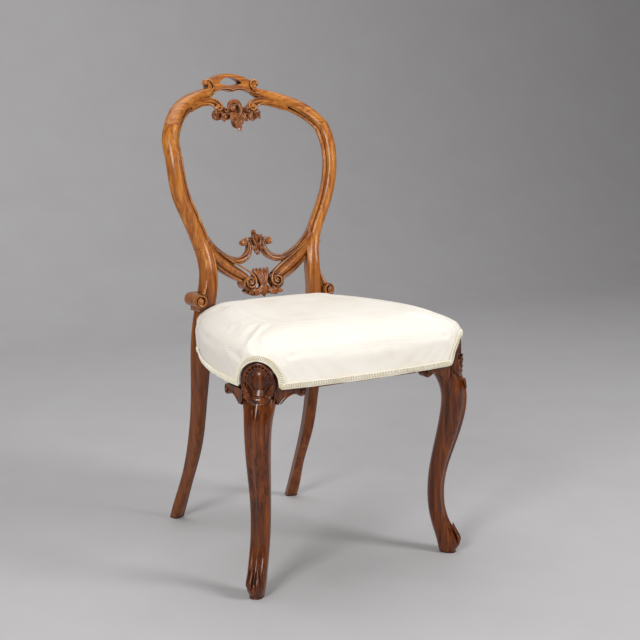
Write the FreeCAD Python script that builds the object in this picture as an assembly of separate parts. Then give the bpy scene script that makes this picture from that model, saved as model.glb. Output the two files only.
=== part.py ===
import FreeCAD, Part
import os
from math import atan, cos, pi, radians, sin, sqrt

os.makedirs("parts", exist_ok=True)
Vec = FreeCAD.Vector
UP = Vec(0, 0, 1)
HALF_ROOT = sqrt(0.5)

# A walnut balloon back dining chair with a sprung, over-stuffed seat. Millimetres, +Z up.
# While the pieces are made, y = 0 runs through the front feet, the sitter faces -Y and
# x = 0 is the plane of symmetry. The finished chair is then set about the middle of its depth.

# Stance
FRONT_FOOT_X = 208.5
REAR_FOOT_X = 135.0
REAR_FOOT_Y = 460.0
REAR_FOOT_SIZE = 18.0

# Bowed surface that the middle of every back member lies on
BACK_DATUM_Z = 480.0
BACK_CENTRE_Y = 341.0
BACK_RAKE = 0.28
BACK_ROLL_Z = 700.0
BACK_ROLL = 0.00045
BOW_LOW_Z = 466.0
BOW_LOW = 0.00078
BOW_HIGH_Z = 793.0
BOW_HIGH = 0.00179

# Stiles and crest
STILE_WIDTH = 29.0
STILE_DEPTH = 30.0
STILE_FORK_X = 117.5
STILE_FORK_Z = 520.0
STILE_BELLY_X = 174.5
STILE_BELLY_Z = 745.0
CREST_JOINT_X = 166.5
CREST_JOINT_Z = 793.0
CREST_ROLL_WIDTH = 21.0
CREST_ROLL_Z = 857.0
CREST_HORN_X = 33.0
CREST_HORN_Z = 826.0
CREST_HORN_SIZE = 14.0
SEAT_STILE_WIDTH = 26.0
SEAT_STILE_DEPTH = 38.5

# Cartouche in the middle of the crest, with its hand hole
CARTOUCHE_HALF_WIDTH = 54.0
CARTOUCHE_TOP_Z = 896.0
CARTOUCHE_UNDER_Z = 864.0
CARTOUCHE_CUSP_Z = 860.0
CARTOUCHE_THICKNESS = 22.0
HAND_HOLE_HALF_WIDTH = 25.0
HAND_HOLE_TOP_Z = 889.0
HAND_HOLE_LOW_Z = 872.5

# Ear volutes at the foot of each stile
EAR_X = 144.0
EAR_Z = 468.0
EAR_RADIUS = 13.0
EAR_FRONT_Y = 317.0
EAR_BACK_Y = 364.0

# Lower back rail
ARM_WIDTH = 27.0
ARM_DEPTH = 27.0
RAIL_JOINT_X = 102.0
RAIL_JOINT_Z = 545.0
VOLUTE_X = 31.0
VOLUTE_Z = 492.0
VOLUTE_RADIUS = 14.0
VOLUTE_DEPTH = 27.0
RAIL_HORN_X = 29.0
RAIL_HORN_Z = 566.0
RAIL_HORN_SIZE = 10.0
FINIAL_TOP_Z = 591.0

# Seat frame
RAIL_BOTTOM_Z = 370.0
RAIL_TOP_Z = 414.0
FRONT_RAIL_INNER_Y = -14.0
SIDE_RAIL_INNER_X = 203.0
BACK_RAIL_INNER_Y = 329.0
LEG_BLOCK_INNER_X = 179.0
LEG_BLOCK_INNER_Y = 29.0
STILE_INNER_X = 119.0
CORNER_BLOCK_REACH = 46.0
CORNER_BLOCK_HEIGHT = 30.0
SCREW_SHANK = 4.0
SCREW_HEAD = 8.0
SCREW_LENGTH = 28.0

# Knee carving and its ears
KNEE_Z = 380.0
KNEE_HALF_WIDTH = 29.5
KNEE_HALF_HEIGHT = 38.0
KNEE_FACE = 15.0
KNEE_LEAN = 9.0
KNEE_LEAN_FROM_Z = 60.0
KNEE_LEAN_TO_Z = 370.0
KNEE_EAR_TIP = 126.0
KNEE_EAR_SIDE_SHIFT = 20.0
KNEE_EAR_DROP = 19.0
KNEE_EAR_THICKNESS = 18.0
KNEE_EAR_SET_BACK = 9.0
KNEE_ARCH_TOP_Z = 420.0
KNEE_ARCH_HALF_WIDTH = 33.0

# Dowels
DOWEL_DIAMETER = 9.5
DOWEL_LENGTH = 40.0
ARM_DOWEL_LENGTH = 30.0
DOWEL_CLEARANCE = 0.1
DOWEL_HEIGHTS = (379.0, 401.0)

# Upholstery
SEAT_FRONT_Y = -48.0
SEAT_KNEE_FRONT = (172.0, -38.0)
SEAT_KNEE_SIDE = (227.0, 4.0)
SEAT_SIDE = (209.0, 160.0)
SEAT_REAR_CORNER = (154.0, 306.0)
SEAT_BACK_Y = 351.0
SEAT_CROWN_Z = 469.0
SEAT_CROWN_RISE = 38.0
COVER_THICKNESS = 1.5
GIMP_WIDTH = 12.0
GIMP_THICKNESS = 2.4
HESSIAN_Z = 434.0
HESSIAN_THICKNESS = 1.2
WEBBING_WIDTH = 50.0
WEBBING_THICKNESS = 2.0
WEBBING_PITCH = 78.0
SPRING_WIRE = 3.6
SPRING_END_RADIUS = 36.0
SPRING_WAIST_RADIUS = 20.0
SPRING_TURNS = 5
TACK_HEAD = 6.5
TACK_LENGTH = 12.0
FAR = 600.0


def box(x0, x1, y0, y1, z0, z1):
    """Box between two corners."""
    return Part.makeBox(x1 - x0, y1 - y0, z1 - z0, Vec(x0, y0, z0))


def mirrored(shape):
    """The same piece on the other side of the chair."""
    return shape.mirror(Vec(0, 0, 0), Vec(1, 0, 0))


def rod(start, end, diameter):
    """Round rod between two points."""
    run = end - start
    return Part.makeCylinder(diameter / 2, run.Length, start, run)


def arc_wire(points):
    """Closed wire of arcs: the points alternate between corner and through point."""
    count = len(points)
    arcs = [Part.Arc(points[i], points[i + 1], points[(i + 2) % count]) for i in range(0, count, 2)]
    return Part.Wire([arc.toShape() for arc in arcs])


def prism(points, start, run):
    """Straight-sided prism: flat points moved to a start and drawn along a run."""
    placed = [start + point for point in points]
    return Part.Face(Part.makePolygon(placed + placed[:1])).extrude(run)


def ellipsoid(centre, radii, axes=(Vec(1, 0, 0), Vec(0, 1, 0), Vec(0, 0, 1))):
    """Ellipsoid with its three radii along three square axes."""
    columns = [axes[i] * radii[i] for i in range(3)]
    matrix = FreeCAD.Matrix(
        columns[0].x, columns[1].x, columns[2].x, centre.x,
        columns[0].y, columns[1].y, columns[2].y, centre.y,
        columns[0].z, columns[1].z, columns[2].z, centre.z,
        0, 0, 0, 1)
    return Part.makeSphere(1.0).transformGeometry(matrix)


def smooth_loft(wires):
    """Solid through closed sections, as a cubic surface that doesn't swing past them."""
    return Part.makeLoft(wires, True, False, False, 3)


def largest(shape):
    """The main solid that a cut leaves."""
    return max(shape.Solids, key=lambda solid: solid.Volume)


# Back surface

def bow(z):
    """Bow of the back at a height, as the factor of x squared."""
    share = (z - BOW_LOW_Z) / (BOW_HIGH_Z - BOW_LOW_Z)
    return BOW_LOW + (BOW_HIGH - BOW_LOW) * min(max(share, 0.0), 1.0)


def back_point(x, z):
    """Point of the bowed back surface, which rolls further back towards the crest."""
    roll = BACK_ROLL * max(z - BACK_ROLL_Z, 0.0) ** 2
    return Vec(x, BACK_CENTRE_Y + BACK_RAKE * (z - BACK_DATUM_Z) + roll - bow(z) * x * x, z)


def back_turn(x, z):
    """Angle in plan by which the back faces inward at a point."""
    return atan(2 * bow(z) * x)


def back_slab(z_low, z_high, half_width, front, behind):
    """Slice of the back between two heights and two offsets from its surface."""
    wires = []
    for z in (z_low, z_high):
        edge = back_point(half_width, z)
        middle = back_point(0, z)
        left = Vec(-edge.x, edge.y, z)
        ahead = Vec(0, -front, 0)
        back = Vec(0, behind, 0)
        front_arc = Part.Arc(left + ahead, middle + ahead, edge + ahead).toShape()
        right_line = Part.makeLine(edge + ahead, edge + back)
        back_arc = Part.Arc(edge + back, middle + back, left + back).toShape()
        left_line = Part.makeLine(left + back, left + ahead)
        wires.append(Part.Wire([front_arc, right_line, back_arc, left_line]))
    return Part.makeLoft(wires, True, True)


# Member sections, as shares of half the width (outer -1, inner 1) and of half the depth
# (front -1, back 1). Corner and through points alternate.
PLAIN_SECTION = [
    (-1.00, -0.45), (-0.90, -0.86), (-0.55, -0.98), (0.00, -1.02), (0.55, -0.98), (0.90, -0.86),
    (1.00, -0.45), (1.02, 0.00), (1.00, 0.45), (0.90, 0.86), (0.55, 0.98), (0.00, 1.00),
    (-0.55, 0.98), (-0.90, 0.86), (-1.00, 0.45), (-1.02, 0.00)]
MOULDED_SECTION = [
    (-1.00, 0.05), (-0.84, -0.55), (-0.50, -0.90), (0.00, -0.98), (0.52, -0.66), (0.80, -0.82),
    (1.00, -0.48), (1.02, 0.00), (0.96, 0.45), (0.86, 0.78), (0.55, 0.93), (0.00, 1.00),
    (-0.50, 0.93), (-0.84, 0.75), (-1.00, 0.35), (-1.02, 0.20)]


def member_wire(station, along, turn):
    """Section of a back member: station is (point, width, depth, share of moulding)."""
    centre, width, depth, moulding = station
    front = Vec(-sin(turn), -cos(turn), 0)
    back = (along * front.dot(along) - front).normalize()
    inward = along.cross(back)
    points = []
    for plain, moulded in zip(PLAIN_SECTION, MOULDED_SECTION):
        across = plain[0] + (moulded[0] - plain[0]) * moulding
        deep = plain[1] + (moulded[1] - plain[1]) * moulding
        points.append(centre + inward * (across * width / 2) + back * (deep * depth / 2))
    return arc_wire(points)


def member(stations, turns, start=None, end=None):
    """Loft through stations, with the direction at each end given or taken from the path."""
    wires = []
    for i, station in enumerate(stations):
        before = stations[max(i - 1, 0)][0]
        after = stations[min(i + 1, len(stations) - 1)][0]
        along = after - before
        if i == 0 and start:
            along = Vec(start)
        if i == len(stations) - 1 and end:
            along = Vec(end)
        wires.append(member_wire(station, along.normalize(), turns[i]))
    return smooth_loft(wires)


def back_member(route, start=None, end=None):
    """Member on the back surface: the route holds (x, z, width, depth, share of moulding)."""
    stations = [(back_point(x, z), width, depth, moulding) for x, z, width, depth, moulding in route]
    turns = [back_turn(x, z) for x, z, *rest in route]
    return member(stations, turns, start, end)


# Crest joint: the plane in which each stile meets the crest rail
CREST_JOINT = back_point(CREST_JOINT_X, CREST_JOINT_Z)
CREST_JOINT_ALONG = (back_point(152.0, 813.0) - back_point(173.0, 770.0)).normalize()


def stile_leg():
    """Right stile and sabre rear leg in one length, without its bores and rail stub."""
    leg_turn = back_turn(STILE_FORK_X, STILE_FORK_Z)
    size = REAR_FOOT_SIZE
    lower = [
        (Vec(REAR_FOOT_X + 1, REAR_FOOT_Y + 13, -25), size, size, 0),
        (Vec(REAR_FOOT_X - 2, REAR_FOOT_Y - 37, 75), size + 1, size + 4, 0),
        (Vec(REAR_FOOT_X - 4, REAR_FOOT_Y - 71, 150), size + 2, size + 8, 0),
        (Vec(REAR_FOOT_X - 4, REAR_FOOT_Y - 93, 225), size + 3, size + 12, 0),
        (Vec(REAR_FOOT_X - 3, REAR_FOOT_Y - 106, 300), size + 5, size + 17, 0),
        (Vec(132.5, 347.0, 362.0), SEAT_STILE_WIDTH, SEAT_STILE_DEPTH, 0),
        (Vec(129.0, 343.5, 420.0), SEAT_STILE_WIDTH, SEAT_STILE_DEPTH, 0),
        (Vec(122.0, 339.5, 470.0), SEAT_STILE_WIDTH, SEAT_STILE_DEPTH - 1, 0.2)]
    upper = [
        (STILE_FORK_X, STILE_FORK_Z, 27.0, 33.0, 0.4),
        (121.5, 557.0, 28.0, 31.0, 0.7),
        (135.0, 598.0, STILE_WIDTH, STILE_DEPTH, 1),
        (157.0, 648.0, STILE_WIDTH, STILE_DEPTH, 1),
        (171.0, 700.0, STILE_WIDTH, STILE_DEPTH, 1),
        (STILE_BELLY_X, STILE_BELLY_Z, STILE_WIDTH, STILE_DEPTH, 1),
        (CREST_JOINT_X, CREST_JOINT_Z, STILE_WIDTH, STILE_DEPTH, 1)]
    stations = lower + [(back_point(x, z), w, d, m) for x, z, w, d, m in upper]
    turns = [leg_turn] * len(lower) + [back_turn(x, z) for x, z, *rest in upper]
    whole = member(stations, turns, end=CREST_JOINT_ALONG)
    return whole.cut(box(-FAR, FAR, -FAR, FAR, -FAR, 0))


def ear_volute():
    """Scroll ear on the outer side of the stile, just above the seat."""
    front = Vec(EAR_X, EAR_FRONT_Y, EAR_Z)
    scroll = rod(front, Vec(EAR_X, EAR_BACK_Y, EAR_Z), 2 * EAR_RADIUS)
    groove = Part.makeTorus(EAR_RADIUS * 0.62, 2.2, front, Vec(0, 1, 0))
    button = ellipsoid(front, (4.5, 3.0, 4.5))
    step = box(STILE_FORK_X, EAR_X, EAR_FRONT_Y + 6, EAR_BACK_Y, EAR_Z - 22, EAR_Z + EAR_RADIUS)
    return scroll.cut(groove).fuse([button, step])


def crest_blank():
    """Crest rail: two rolled arms, the pierced cartouche and the two inner horns."""
    rail = [
        (CREST_JOINT_X, CREST_JOINT_Z, STILE_WIDTH, STILE_DEPTH, 1),
        (150.0, 814.0, STILE_WIDTH, STILE_DEPTH, 1),
        (127.0, 831.0, STILE_WIDTH, STILE_DEPTH - 1, 1),
        (100.0, 843.0, STILE_WIDTH - 2, STILE_DEPTH - 2, 0.8),
        (74.0, CREST_ROLL_Z - 5, CREST_ROLL_WIDTH + 2, STILE_DEPTH - 5, 0.4),
        (46.0, CREST_ROLL_Z + 5, CREST_ROLL_WIDTH - 7, STILE_DEPTH - 9, 0)]
    right = back_member(rail, start=CREST_JOINT_ALONG)
    size = CREST_HORN_SIZE
    horn_route = [
        (112.0, 830.0, size + 2, size + 8, 0.5),
        (90.0, 837.0, size + 2, size + 7, 0.5),
        (69.0, 840.5, size, size + 5, 0.5),
        (51.0, 840.5, size - 1, size + 4, 0.5),
        (39.0, 835.5, size - 3, size + 2, 0.5),
        (CREST_HORN_X, CREST_HORN_Z, size - 5, size, 0.5)]
    horn = back_member(horn_route)
    curl = ellipsoid(back_point(CREST_HORN_X + 3, CREST_HORN_Z - 1), (7.0, 9.0, 7.0))
    half = right.fuse([horn, curl])
    return half.fuse([mirrored(half), cartouche()])


def cartouche():
    """Pierced, scroll-ended centre of the crest, bowed with the back."""
    reach = CARTOUCHE_HALF_WIDTH
    outline = arc_wire([
        Vec(0, 0, CARTOUCHE_TOP_Z), Vec(reach * 0.50, 0, CARTOUCHE_TOP_Z - 4.5),
        Vec(reach * 0.86, 0, CARTOUCHE_TOP_Z - 15), Vec(reach * 0.97, 0, CARTOUCHE_TOP_Z - 13),
        Vec(reach, 0, CARTOUCHE_TOP_Z - 19), Vec(reach * 1.02, 0, CARTOUCHE_TOP_Z - 32),
        Vec(reach * 1.08, 0, CARTOUCHE_UNDER_Z - 17), Vec(reach * 0.62, 0, CARTOUCHE_UNDER_Z - 2),
        Vec(0, 0, CARTOUCHE_CUSP_Z), Vec(-reach * 0.62, 0, CARTOUCHE_UNDER_Z - 2),
        Vec(-reach * 1.08, 0, CARTOUCHE_UNDER_Z - 17), Vec(-reach * 1.02, 0, CARTOUCHE_TOP_Z - 32),
        Vec(-reach, 0, CARTOUCHE_TOP_Z - 19), Vec(-reach * 0.97, 0, CARTOUCHE_TOP_Z - 13),
        Vec(-reach * 0.86, 0, CARTOUCHE_TOP_Z - 15), Vec(-reach * 0.50, 0, CARTOUCHE_TOP_Z - 4.5)])
    hole = arc_wire([
        Vec(-HAND_HOLE_HALF_WIDTH, 0, HAND_HOLE_LOW_Z + 5), Vec(0, 0, HAND_HOLE_TOP_Z),
        Vec(HAND_HOLE_HALF_WIDTH, 0, HAND_HOLE_LOW_Z + 5), Vec(0, 0, HAND_HOLE_LOW_Z)])
    run = Vec(0, FAR, 0)
    plate = Part.Face(outline).extrude(run).cut(Part.Face(hole).extrude(run))
    half = CARTOUCHE_THICKNESS / 2
    slab = back_slab(CARTOUCHE_UNDER_Z - 40, CARTOUCHE_TOP_Z + 20, reach * 1.4, half, half)
    return plate.common(slab)


def crest_leaf():
    """Carved leaf drop glued between the horns of the crest."""
    leaflets = [
        (0.0, 814.0, 17.0, 11.0, 30.0, 0.0),
        (20.0, 816.0, 11.0, 9.5, 20.0, 35.0),
        (38.0, 815.0, 9.5, 8.5, 17.0, 70.0),
        (13.0, 826.0, 10.0, 9.5, 14.0, -20.0)]
    parts = []
    for x, z, half_width, half_depth, half_height, lean in leaflets:
        for side in ((1, -1) if x else (1,)):
            turn = radians(lean) * side
            axes = (Vec(cos(turn), 0, sin(turn)), Vec(0, 1, 0), Vec(-sin(turn), 0, cos(turn)))
            centre = back_point(x * side, z) - Vec(0, 4, 0)
            parts.append(ellipsoid(centre, (half_width, half_depth, half_height), axes))
    carving = parts[0]
    for leaflet in parts[1:]:
        carving = carving.fuse(leaflet)
    return carving


def rail_arm():
    """Right arm of the lower back rail, run on into the stile."""
    width = ARM_WIDTH
    route = [
        (128.0, 574.0, width + 4, ARM_DEPTH + 1, 1),
        (110.0, 556.0, width + 4, ARM_DEPTH + 1, 1),
        (90.0, 537.0, width + 2, ARM_DEPTH, 1),
        (68.0, 520.5, width, ARM_DEPTH, 1),
        (48.0, 508.5, width - 3, ARM_DEPTH, 1),
        (34.0, 500.0, width - 7, ARM_DEPTH, 1)]
    return back_member(route)


def rail_horn():
    """Right S scroll that rises from the arm to the finial and rolls outward."""
    size = RAIL_HORN_SIZE
    route = [
        (126.0, 596.0, size + 1, size + 13, 0.5),
        (112.0, 573.5, size + 1, size + 13, 0.5),
        (98.0, 558.5, size + 1, size + 13, 0.5),
        (84.0, 548.0, size + 1, size + 12, 0.5),
        (68.0, 539.5, size + 1, size + 11, 0.5),
        (52.0, 535.0, size, size + 10, 0.5),
        (37.0, 536.0, size, size + 9, 0.5),
        (25.0, 542.0, size, size + 9, 0.5),
        (17.5, 551.0, size - 1, size + 8, 0.5),
        (15.0, 562.0, size - 2, size + 7, 0.5),
        (19.0, 571.0, size - 3, size + 6, 0.5)]
    curl = ellipsoid(back_point(RAIL_HORN_X - 2, RAIL_HORN_Z + 2), (6.5, 10.0, 6.0))
    bridge = rod(back_point(18, 570), back_point(RAIL_HORN_X - 2, RAIL_HORN_Z + 4), 6.5)
    return back_member(route).fuse([curl, bridge])


def volute():
    """Right inward-rolled volute at the end of the arm."""
    centre = back_point(VOLUTE_X, VOLUTE_Z)
    front = centre - Vec(0, VOLUTE_DEPTH / 2 + 2, 0)
    disc = rod(front, centre + Vec(0, VOLUTE_DEPTH / 2, 0), 2 * VOLUTE_RADIUS)
    groove = Part.makeTorus(VOLUTE_RADIUS * 0.60, 2.4, front, Vec(0, 1, 0))
    button = ellipsoid(front, (4.0, 3.0, 4.0))
    return disc.cut(groove).fuse(button)


def joint_side():
    """Everything on the stile's side of the flat joint between rail and stile."""
    foot = Vec(RAIL_JOINT_X - 8, -FAR, RAIL_JOINT_Z - 60)
    head = Vec(RAIL_JOINT_X + 21, -FAR, RAIL_JOINT_Z + 60)
    far_high = Vec(FAR, -FAR, RAIL_JOINT_Z + 60)
    far_low = Vec(FAR, -FAR, RAIL_JOINT_Z - 60)
    return prism([foot, head, far_high, far_low], Vec(0, 0, 0), Vec(0, 3 * FAR, 0))


def rail_web():
    """Carved foliage below the volutes, down to the seat, as one plate."""
    top = VOLUTE_Z + 18
    outline = arc_wire([
        Vec(-12, 0, top), Vec(0, 0, top + 4), Vec(12, 0, top), Vec(20, 0, VOLUTE_Z),
        Vec(40, 0, VOLUTE_Z - 16), Vec(30, 0, VOLUTE_Z - 23), Vec(12, 0, VOLUTE_Z - 21),
        Vec(0, 0, VOLUTE_Z - 26), Vec(-12, 0, VOLUTE_Z - 21), Vec(-30, 0, VOLUTE_Z - 23),
        Vec(-40, 0, VOLUTE_Z - 16), Vec(-20, 0, VOLUTE_Z)])
    plate = Part.Face(outline).extrude(Vec(0, FAR, 0))
    return plate.common(back_slab(VOLUTE_Z - 40, VOLUTE_Z + 40, 60, 9, 11))


# Front legs. Each row of the profile is a height, how far the outer and inner faces stand
# out from the foot's centre along the diagonal, half the width, and the share of fluting.
LEG_PROFILE = [
    (0.0, 17.0, -15.0, 12.5, 0.0),
    (10.0, 20.0, -17.5, 14.5, 0.0),
    (23.0, 23.0, -20.5, 16.5, 0.3),
    (38.0, 15.5, -25.0, 16.8, 0.7),
    (58.0, 4.0, -31.5, 16.7, 1.0),
    (84.0, -5.0, -37.0, 16.8, 1.0),
    (116.0, -8.5, -39.5, 17.0, 1.0),
    (152.0, -5.5, -38.0, 17.5, 1.0),
    (200.0, 7.5, -30.5, 18.8, 1.0),
    (250.0, 23.0, -21.0, 20.6, 1.0),
    (298.0, 31.0, -15.5, 22.5, 1.0),
    (332.0, 27.0, -22.0, 25.5, 0.7),
    (352.0, 20.0, -34.0, 27.5, 0.2),
    (RAIL_BOTTOM_Z, 12.0, -42.0, 29.5, 0.0)]
PLAIN_LEG = [
    (0.97, -0.20), (1.00, 0.00), (0.97, 0.20), (0.90, 0.46), (0.76, 0.68), (0.58, 0.86),
    (0.30, 0.97), (-0.15, 1.00), (-0.55, 0.82), (-0.86, 0.52), (-1.00, 0.18), (-1.02, 0.00)]
FLUTED_LEG = [
    (0.96, -0.16), (1.03, 0.00), (0.96, 0.16), (0.80, 0.38), (0.76, 0.62), (0.62, 0.90),
    (0.30, 1.00), (-0.15, 1.00), (-0.55, 0.82), (-0.86, 0.52), (-1.00, 0.18), (-1.02, 0.00)]
OUTWARD = Vec(HALF_ROOT, -HALF_ROOT, 0)
ACROSS = Vec(HALF_ROOT, HALF_ROOT, 0)


def knee_point(out, across, z):
    """Point by its distance out along the right leg's diagonal and across the leaning leg."""
    share = (z - KNEE_LEAN_FROM_Z) / (KNEE_LEAN_TO_Z - KNEE_LEAN_FROM_Z)
    lean = KNEE_LEAN * min(max(share, 0.0), 1.0)
    return Vec(FRONT_FOOT_X, 0, z) + OUTWARD * out + ACROSS * (across - lean)


def leg_wire(row):
    """Level section of the right front leg."""
    z, outer, inner, half_width, fluting = row
    shares = [[p[i] + (f[i] - p[i]) * fluting for i in (0, 1)] for p, f in zip(PLAIN_LEG, FLUTED_LEG)]
    other_side = [(out, -across) for out, across in shares[10:2:-1]]
    middle = (outer + inner) / 2
    half_depth = (outer - inner) / 2
    return arc_wire([knee_point(middle + out * half_depth, across * half_width, z)
                     for out, across in shares + other_side])


def knee_carving():
    """Oval carving on the knee: raised rim, hollow with a shell boss, rolled lip below."""
    rim = Part.Ellipse(Vec(0, 0, 0), KNEE_HALF_HEIGHT, KNEE_HALF_WIDTH)
    disc = Part.Face(Part.Wire([rim.toShape()])).extrude(Vec(0, 0, KNEE_FACE + 20))
    placement = FreeCAD.Placement()
    placement.Rotation = FreeCAD.Rotation(UP, ACROSS, OUTWARD, "ZXY")
    placement.Base = knee_point(-20, 0, KNEE_Z)
    disc.Placement = placement
    axes = (OUTWARD, ACROSS, UP)
    hollow = ellipsoid(knee_point(KNEE_FACE + 2, 0, KNEE_Z + 3), (9.0, 23.0, 30.0), axes)
    boss = ellipsoid(knee_point(KNEE_FACE - 9, 0, KNEE_Z + 2), (6.0, 14.0, 22.0), axes)
    lip = ellipsoid(knee_point(KNEE_FACE, 0, KNEE_Z - 27), (8.0, 20.0, 8.0), axes)
    return disc.cut(hollow).fuse([boss, lip])


def front_leg(seat):
    """Right cabriole leg, carved knee and square top block in one piece, without its bores."""
    shaft = smooth_loft([leg_wire(row) for row in LEG_PROFILE])
    block = seat.common(box(LEG_BLOCK_INNER_X, FAR, -FAR, LEG_BLOCK_INNER_Y, RAIL_BOTTOM_Z, RAIL_TOP_Z))
    outside = prism(
        [Vec(0, 0, 0), ACROSS * FAR, OUTWARD * FAR + ACROSS * FAR, OUTWARD * FAR],
        knee_point(KNEE_FACE - 8, -FAR / 2, 0), UP * FAR)
    return shaft.fuse([block.cut(outside), knee_carving()])


def knee_arch(grow):
    """Arched opening that the cover leaves for the right knee, run outward."""
    half = KNEE_ARCH_HALF_WIDTH + grow
    top = KNEE_ARCH_TOP_Z + grow
    rise = top - KNEE_Z
    shoulder = (half * 0.74, KNEE_Z + rise * 0.68)
    side = [(half + 7, RAIL_BOTTOM_Z - 6), (half + 2, RAIL_BOTTOM_Z + 4), (half, KNEE_Z), shoulder]
    other_side = [(-across, z) for across, z in side[::-1]]
    outline = side + [(0, top)] + other_side + [(0, RAIL_BOTTOM_Z - 12)]
    wire = arc_wire([knee_point(-30, across, z) for across, z in outline])
    return Part.Face(wire).extrude(OUTWARD * 90)


def front_ear():
    """Right knee ear under the front rail: a lobe that sweeps down into the leg."""
    tip = KNEE_EAR_TIP
    low = RAIL_BOTTOM_Z - KNEE_EAR_DROP
    front_y = SEAT_KNEE_FRONT[1] + KNEE_EAR_SET_BACK
    outline = arc_wire([
        Vec(tip + 2, 0, RAIL_BOTTOM_Z), Vec(tip - 1, 0, low + 9), Vec(tip + 4, 0, low + 3),
        Vec(tip + 10, 0, low + 2), Vec(tip + 16, 0, low + 8), Vec(tip + 34, 0, low + 7),
        Vec(tip + 54, 0, low - 8), Vec(tip + 58, 0, low)])
    open_top = Part.Face(outline).extrude(Vec(0, KNEE_EAR_THICKNESS, 0))
    upper = box(tip + 2, tip + 54, 0, KNEE_EAR_THICKNESS, low + 9, RAIL_BOTTOM_Z)
    ear = open_top.fuse(upper)
    ear.translate(Vec(0, front_y, 0))
    return ear.cut(box(-FAR, FAR, -FAR, FAR, RAIL_BOTTOM_Z, FAR))


# Upholstery

def seat_outline(z, share, grow):
    """Plan outline of the seat: share draws it in about the middle, grow pushes it square out."""
    knee_x = (SEAT_KNEE_FRONT[0] + SEAT_KNEE_SIDE[0]) / 2 + 5
    knee_y = (SEAT_KNEE_FRONT[1] + SEAT_KNEE_SIDE[1]) / 2 - 6
    half = [
        (SEAT_KNEE_FRONT, (0.3, -0.95)), ((knee_x, knee_y), (HALF_ROOT, -HALF_ROOT)),
        (SEAT_KNEE_SIDE, (0.95, -0.3)), (SEAT_SIDE, (0.97, 0.2)),
        (SEAT_REAR_CORNER, (0.95, 0.3)), ((SEAT_REAR_CORNER[0] - 6, SEAT_BACK_Y - 22), (0.8, 0.6)),
        ((SEAT_REAR_CORNER[0] - 24, SEAT_BACK_Y - 6), (0.2, 0.98))]
    right = [(x, y, nx, ny) for (x, y), (nx, ny) in half]
    left = [(-x, y, -nx, ny) for x, y, nx, ny in right[::-1]]
    around = right + [(0, SEAT_BACK_Y, 0, 1)] + left + [(0, SEAT_FRONT_Y, 0, -1)]
    middle_y = (SEAT_FRONT_Y + SEAT_BACK_Y) / 2
    points = []
    for x, y, nx, ny in around:
        points.append(Vec(x * share + nx * grow, middle_y + (y - middle_y) * share + ny * grow, z))
    return arc_wire(points)


def seat_form(grow):
    """Whole upholstered seat: drawn in at the rails, fullest above them, crowned on top."""
    crown = SEAT_CROWN_Z
    start = crown - SEAT_CROWN_RISE
    levels = [(RAIL_BOTTOM_Z, 0.995, 0), (RAIL_TOP_Z - 22, 1.0, 0), (RAIL_TOP_Z, 1.012, 0), (start, 1.015, 0.2)]
    for share in (0.985, 0.93, 0.83, 0.64, 0.40, 0.15):
        rise = sqrt(1 - (share / 1.015) ** 4)
        levels.append((start + SEAT_CROWN_RISE * rise, share, rise))
    wires = [seat_outline(z + grow * lift, share, grow * (1 - lift * lift)) for z, share, lift in levels]
    return smooth_loft(wires)


def hollow(outer, inner):
    """Skin between two forms that share their bottom plane, open below."""
    sides = []
    floors = []
    for form in (outer, inner):
        faces = sorted(form.Faces, key=lambda face: face.BoundBox.ZMax)
        floors.append(faces[0].OuterWire)
        sides += faces[1:]
    shell = Part.makeShell(sides + [Part.Face(floors)])
    shell.sewShape()
    return Part.makeSolid(shell)


def hessian_form(grow):
    """Tent that the hessian makes over the springs, down to the tops of the rails."""
    low = RAIL_TOP_Z
    top = HESSIAN_Z
    levels = [(low, 0.93, 0), (low + 8, 0.91, 0), (top - 5, 0.84, 0.7), (top, 0.74, 1)]
    return smooth_loft([seat_outline(z + grow * lift, share, grow) for z, share, lift in levels])


def spring(x, y):
    """Waisted coil spring, one unbroken wire from the webbing up to the hessian."""
    low = RAIL_BOTTOM_Z + SPRING_WIRE / 2
    high = HESSIAN_Z - HESSIAN_THICKNESS - SPRING_WIRE / 2 - 0.3
    steps = SPRING_TURNS * 8
    points = []
    for i in range(steps + 1):
        share = i / steps
        angle = 2 * pi * SPRING_TURNS * share
        swell = (2 * share - 1) ** 2
        radius = SPRING_WAIST_RADIUS + (SPRING_END_RADIUS - SPRING_WAIST_RADIUS) * swell
        points.append(Vec(x + radius * cos(angle), y + radius * sin(angle), low + (high - low) * share))
    arcs = [Part.Arc(points[i], points[i + 1], points[i + 2]).toShape() for i in range(0, steps, 2)]
    path = Part.Wire(arcs)
    start_direction = path.Edges[0].tangentAt(path.Edges[0].FirstParameter)
    profile = Part.Wire([Part.Circle(points[0], start_direction, SPRING_WIRE / 2).toShape()])
    return path.makePipeShell([profile], True, False)


def webbing_strips(count, lengthwise):
    """Parallel strips of webbing under the seat rails, run to the middle of each rail."""
    strips = []
    half = WEBBING_WIDTH / 2
    middle_y = (SEAT_FRONT_Y + SEAT_BACK_Y) / 2
    for i in range(count):
        offset = (i - (count - 1) / 2) * WEBBING_PITCH
        if lengthwise:
            low = RAIL_BOTTOM_Z - 2 * WEBBING_THICKNESS
            strip = box(offset - half, offset + half, SEAT_FRONT_Y + 14, SEAT_BACK_Y - 10,
                        low, low + WEBBING_THICKNESS)
        else:
            low = RAIL_BOTTOM_Z - WEBBING_THICKNESS
            y = middle_y + offset
            reach = side_rail_inner_x(y) + 12
            strip = box(-reach, reach, y - half, y + half, low, low + WEBBING_THICKNESS)
        strips.append(strip)
    return strips


def side_rail_inner_x(y):
    """Inner face of the right side rail at a depth."""
    run = (BACK_RAIL_INNER_Y - LEG_BLOCK_INNER_Y)
    return SIDE_RAIL_INNER_X + (STILE_INNER_X + 6 - SIDE_RAIL_INNER_X) * (y - LEG_BLOCK_INNER_Y) / run


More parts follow.
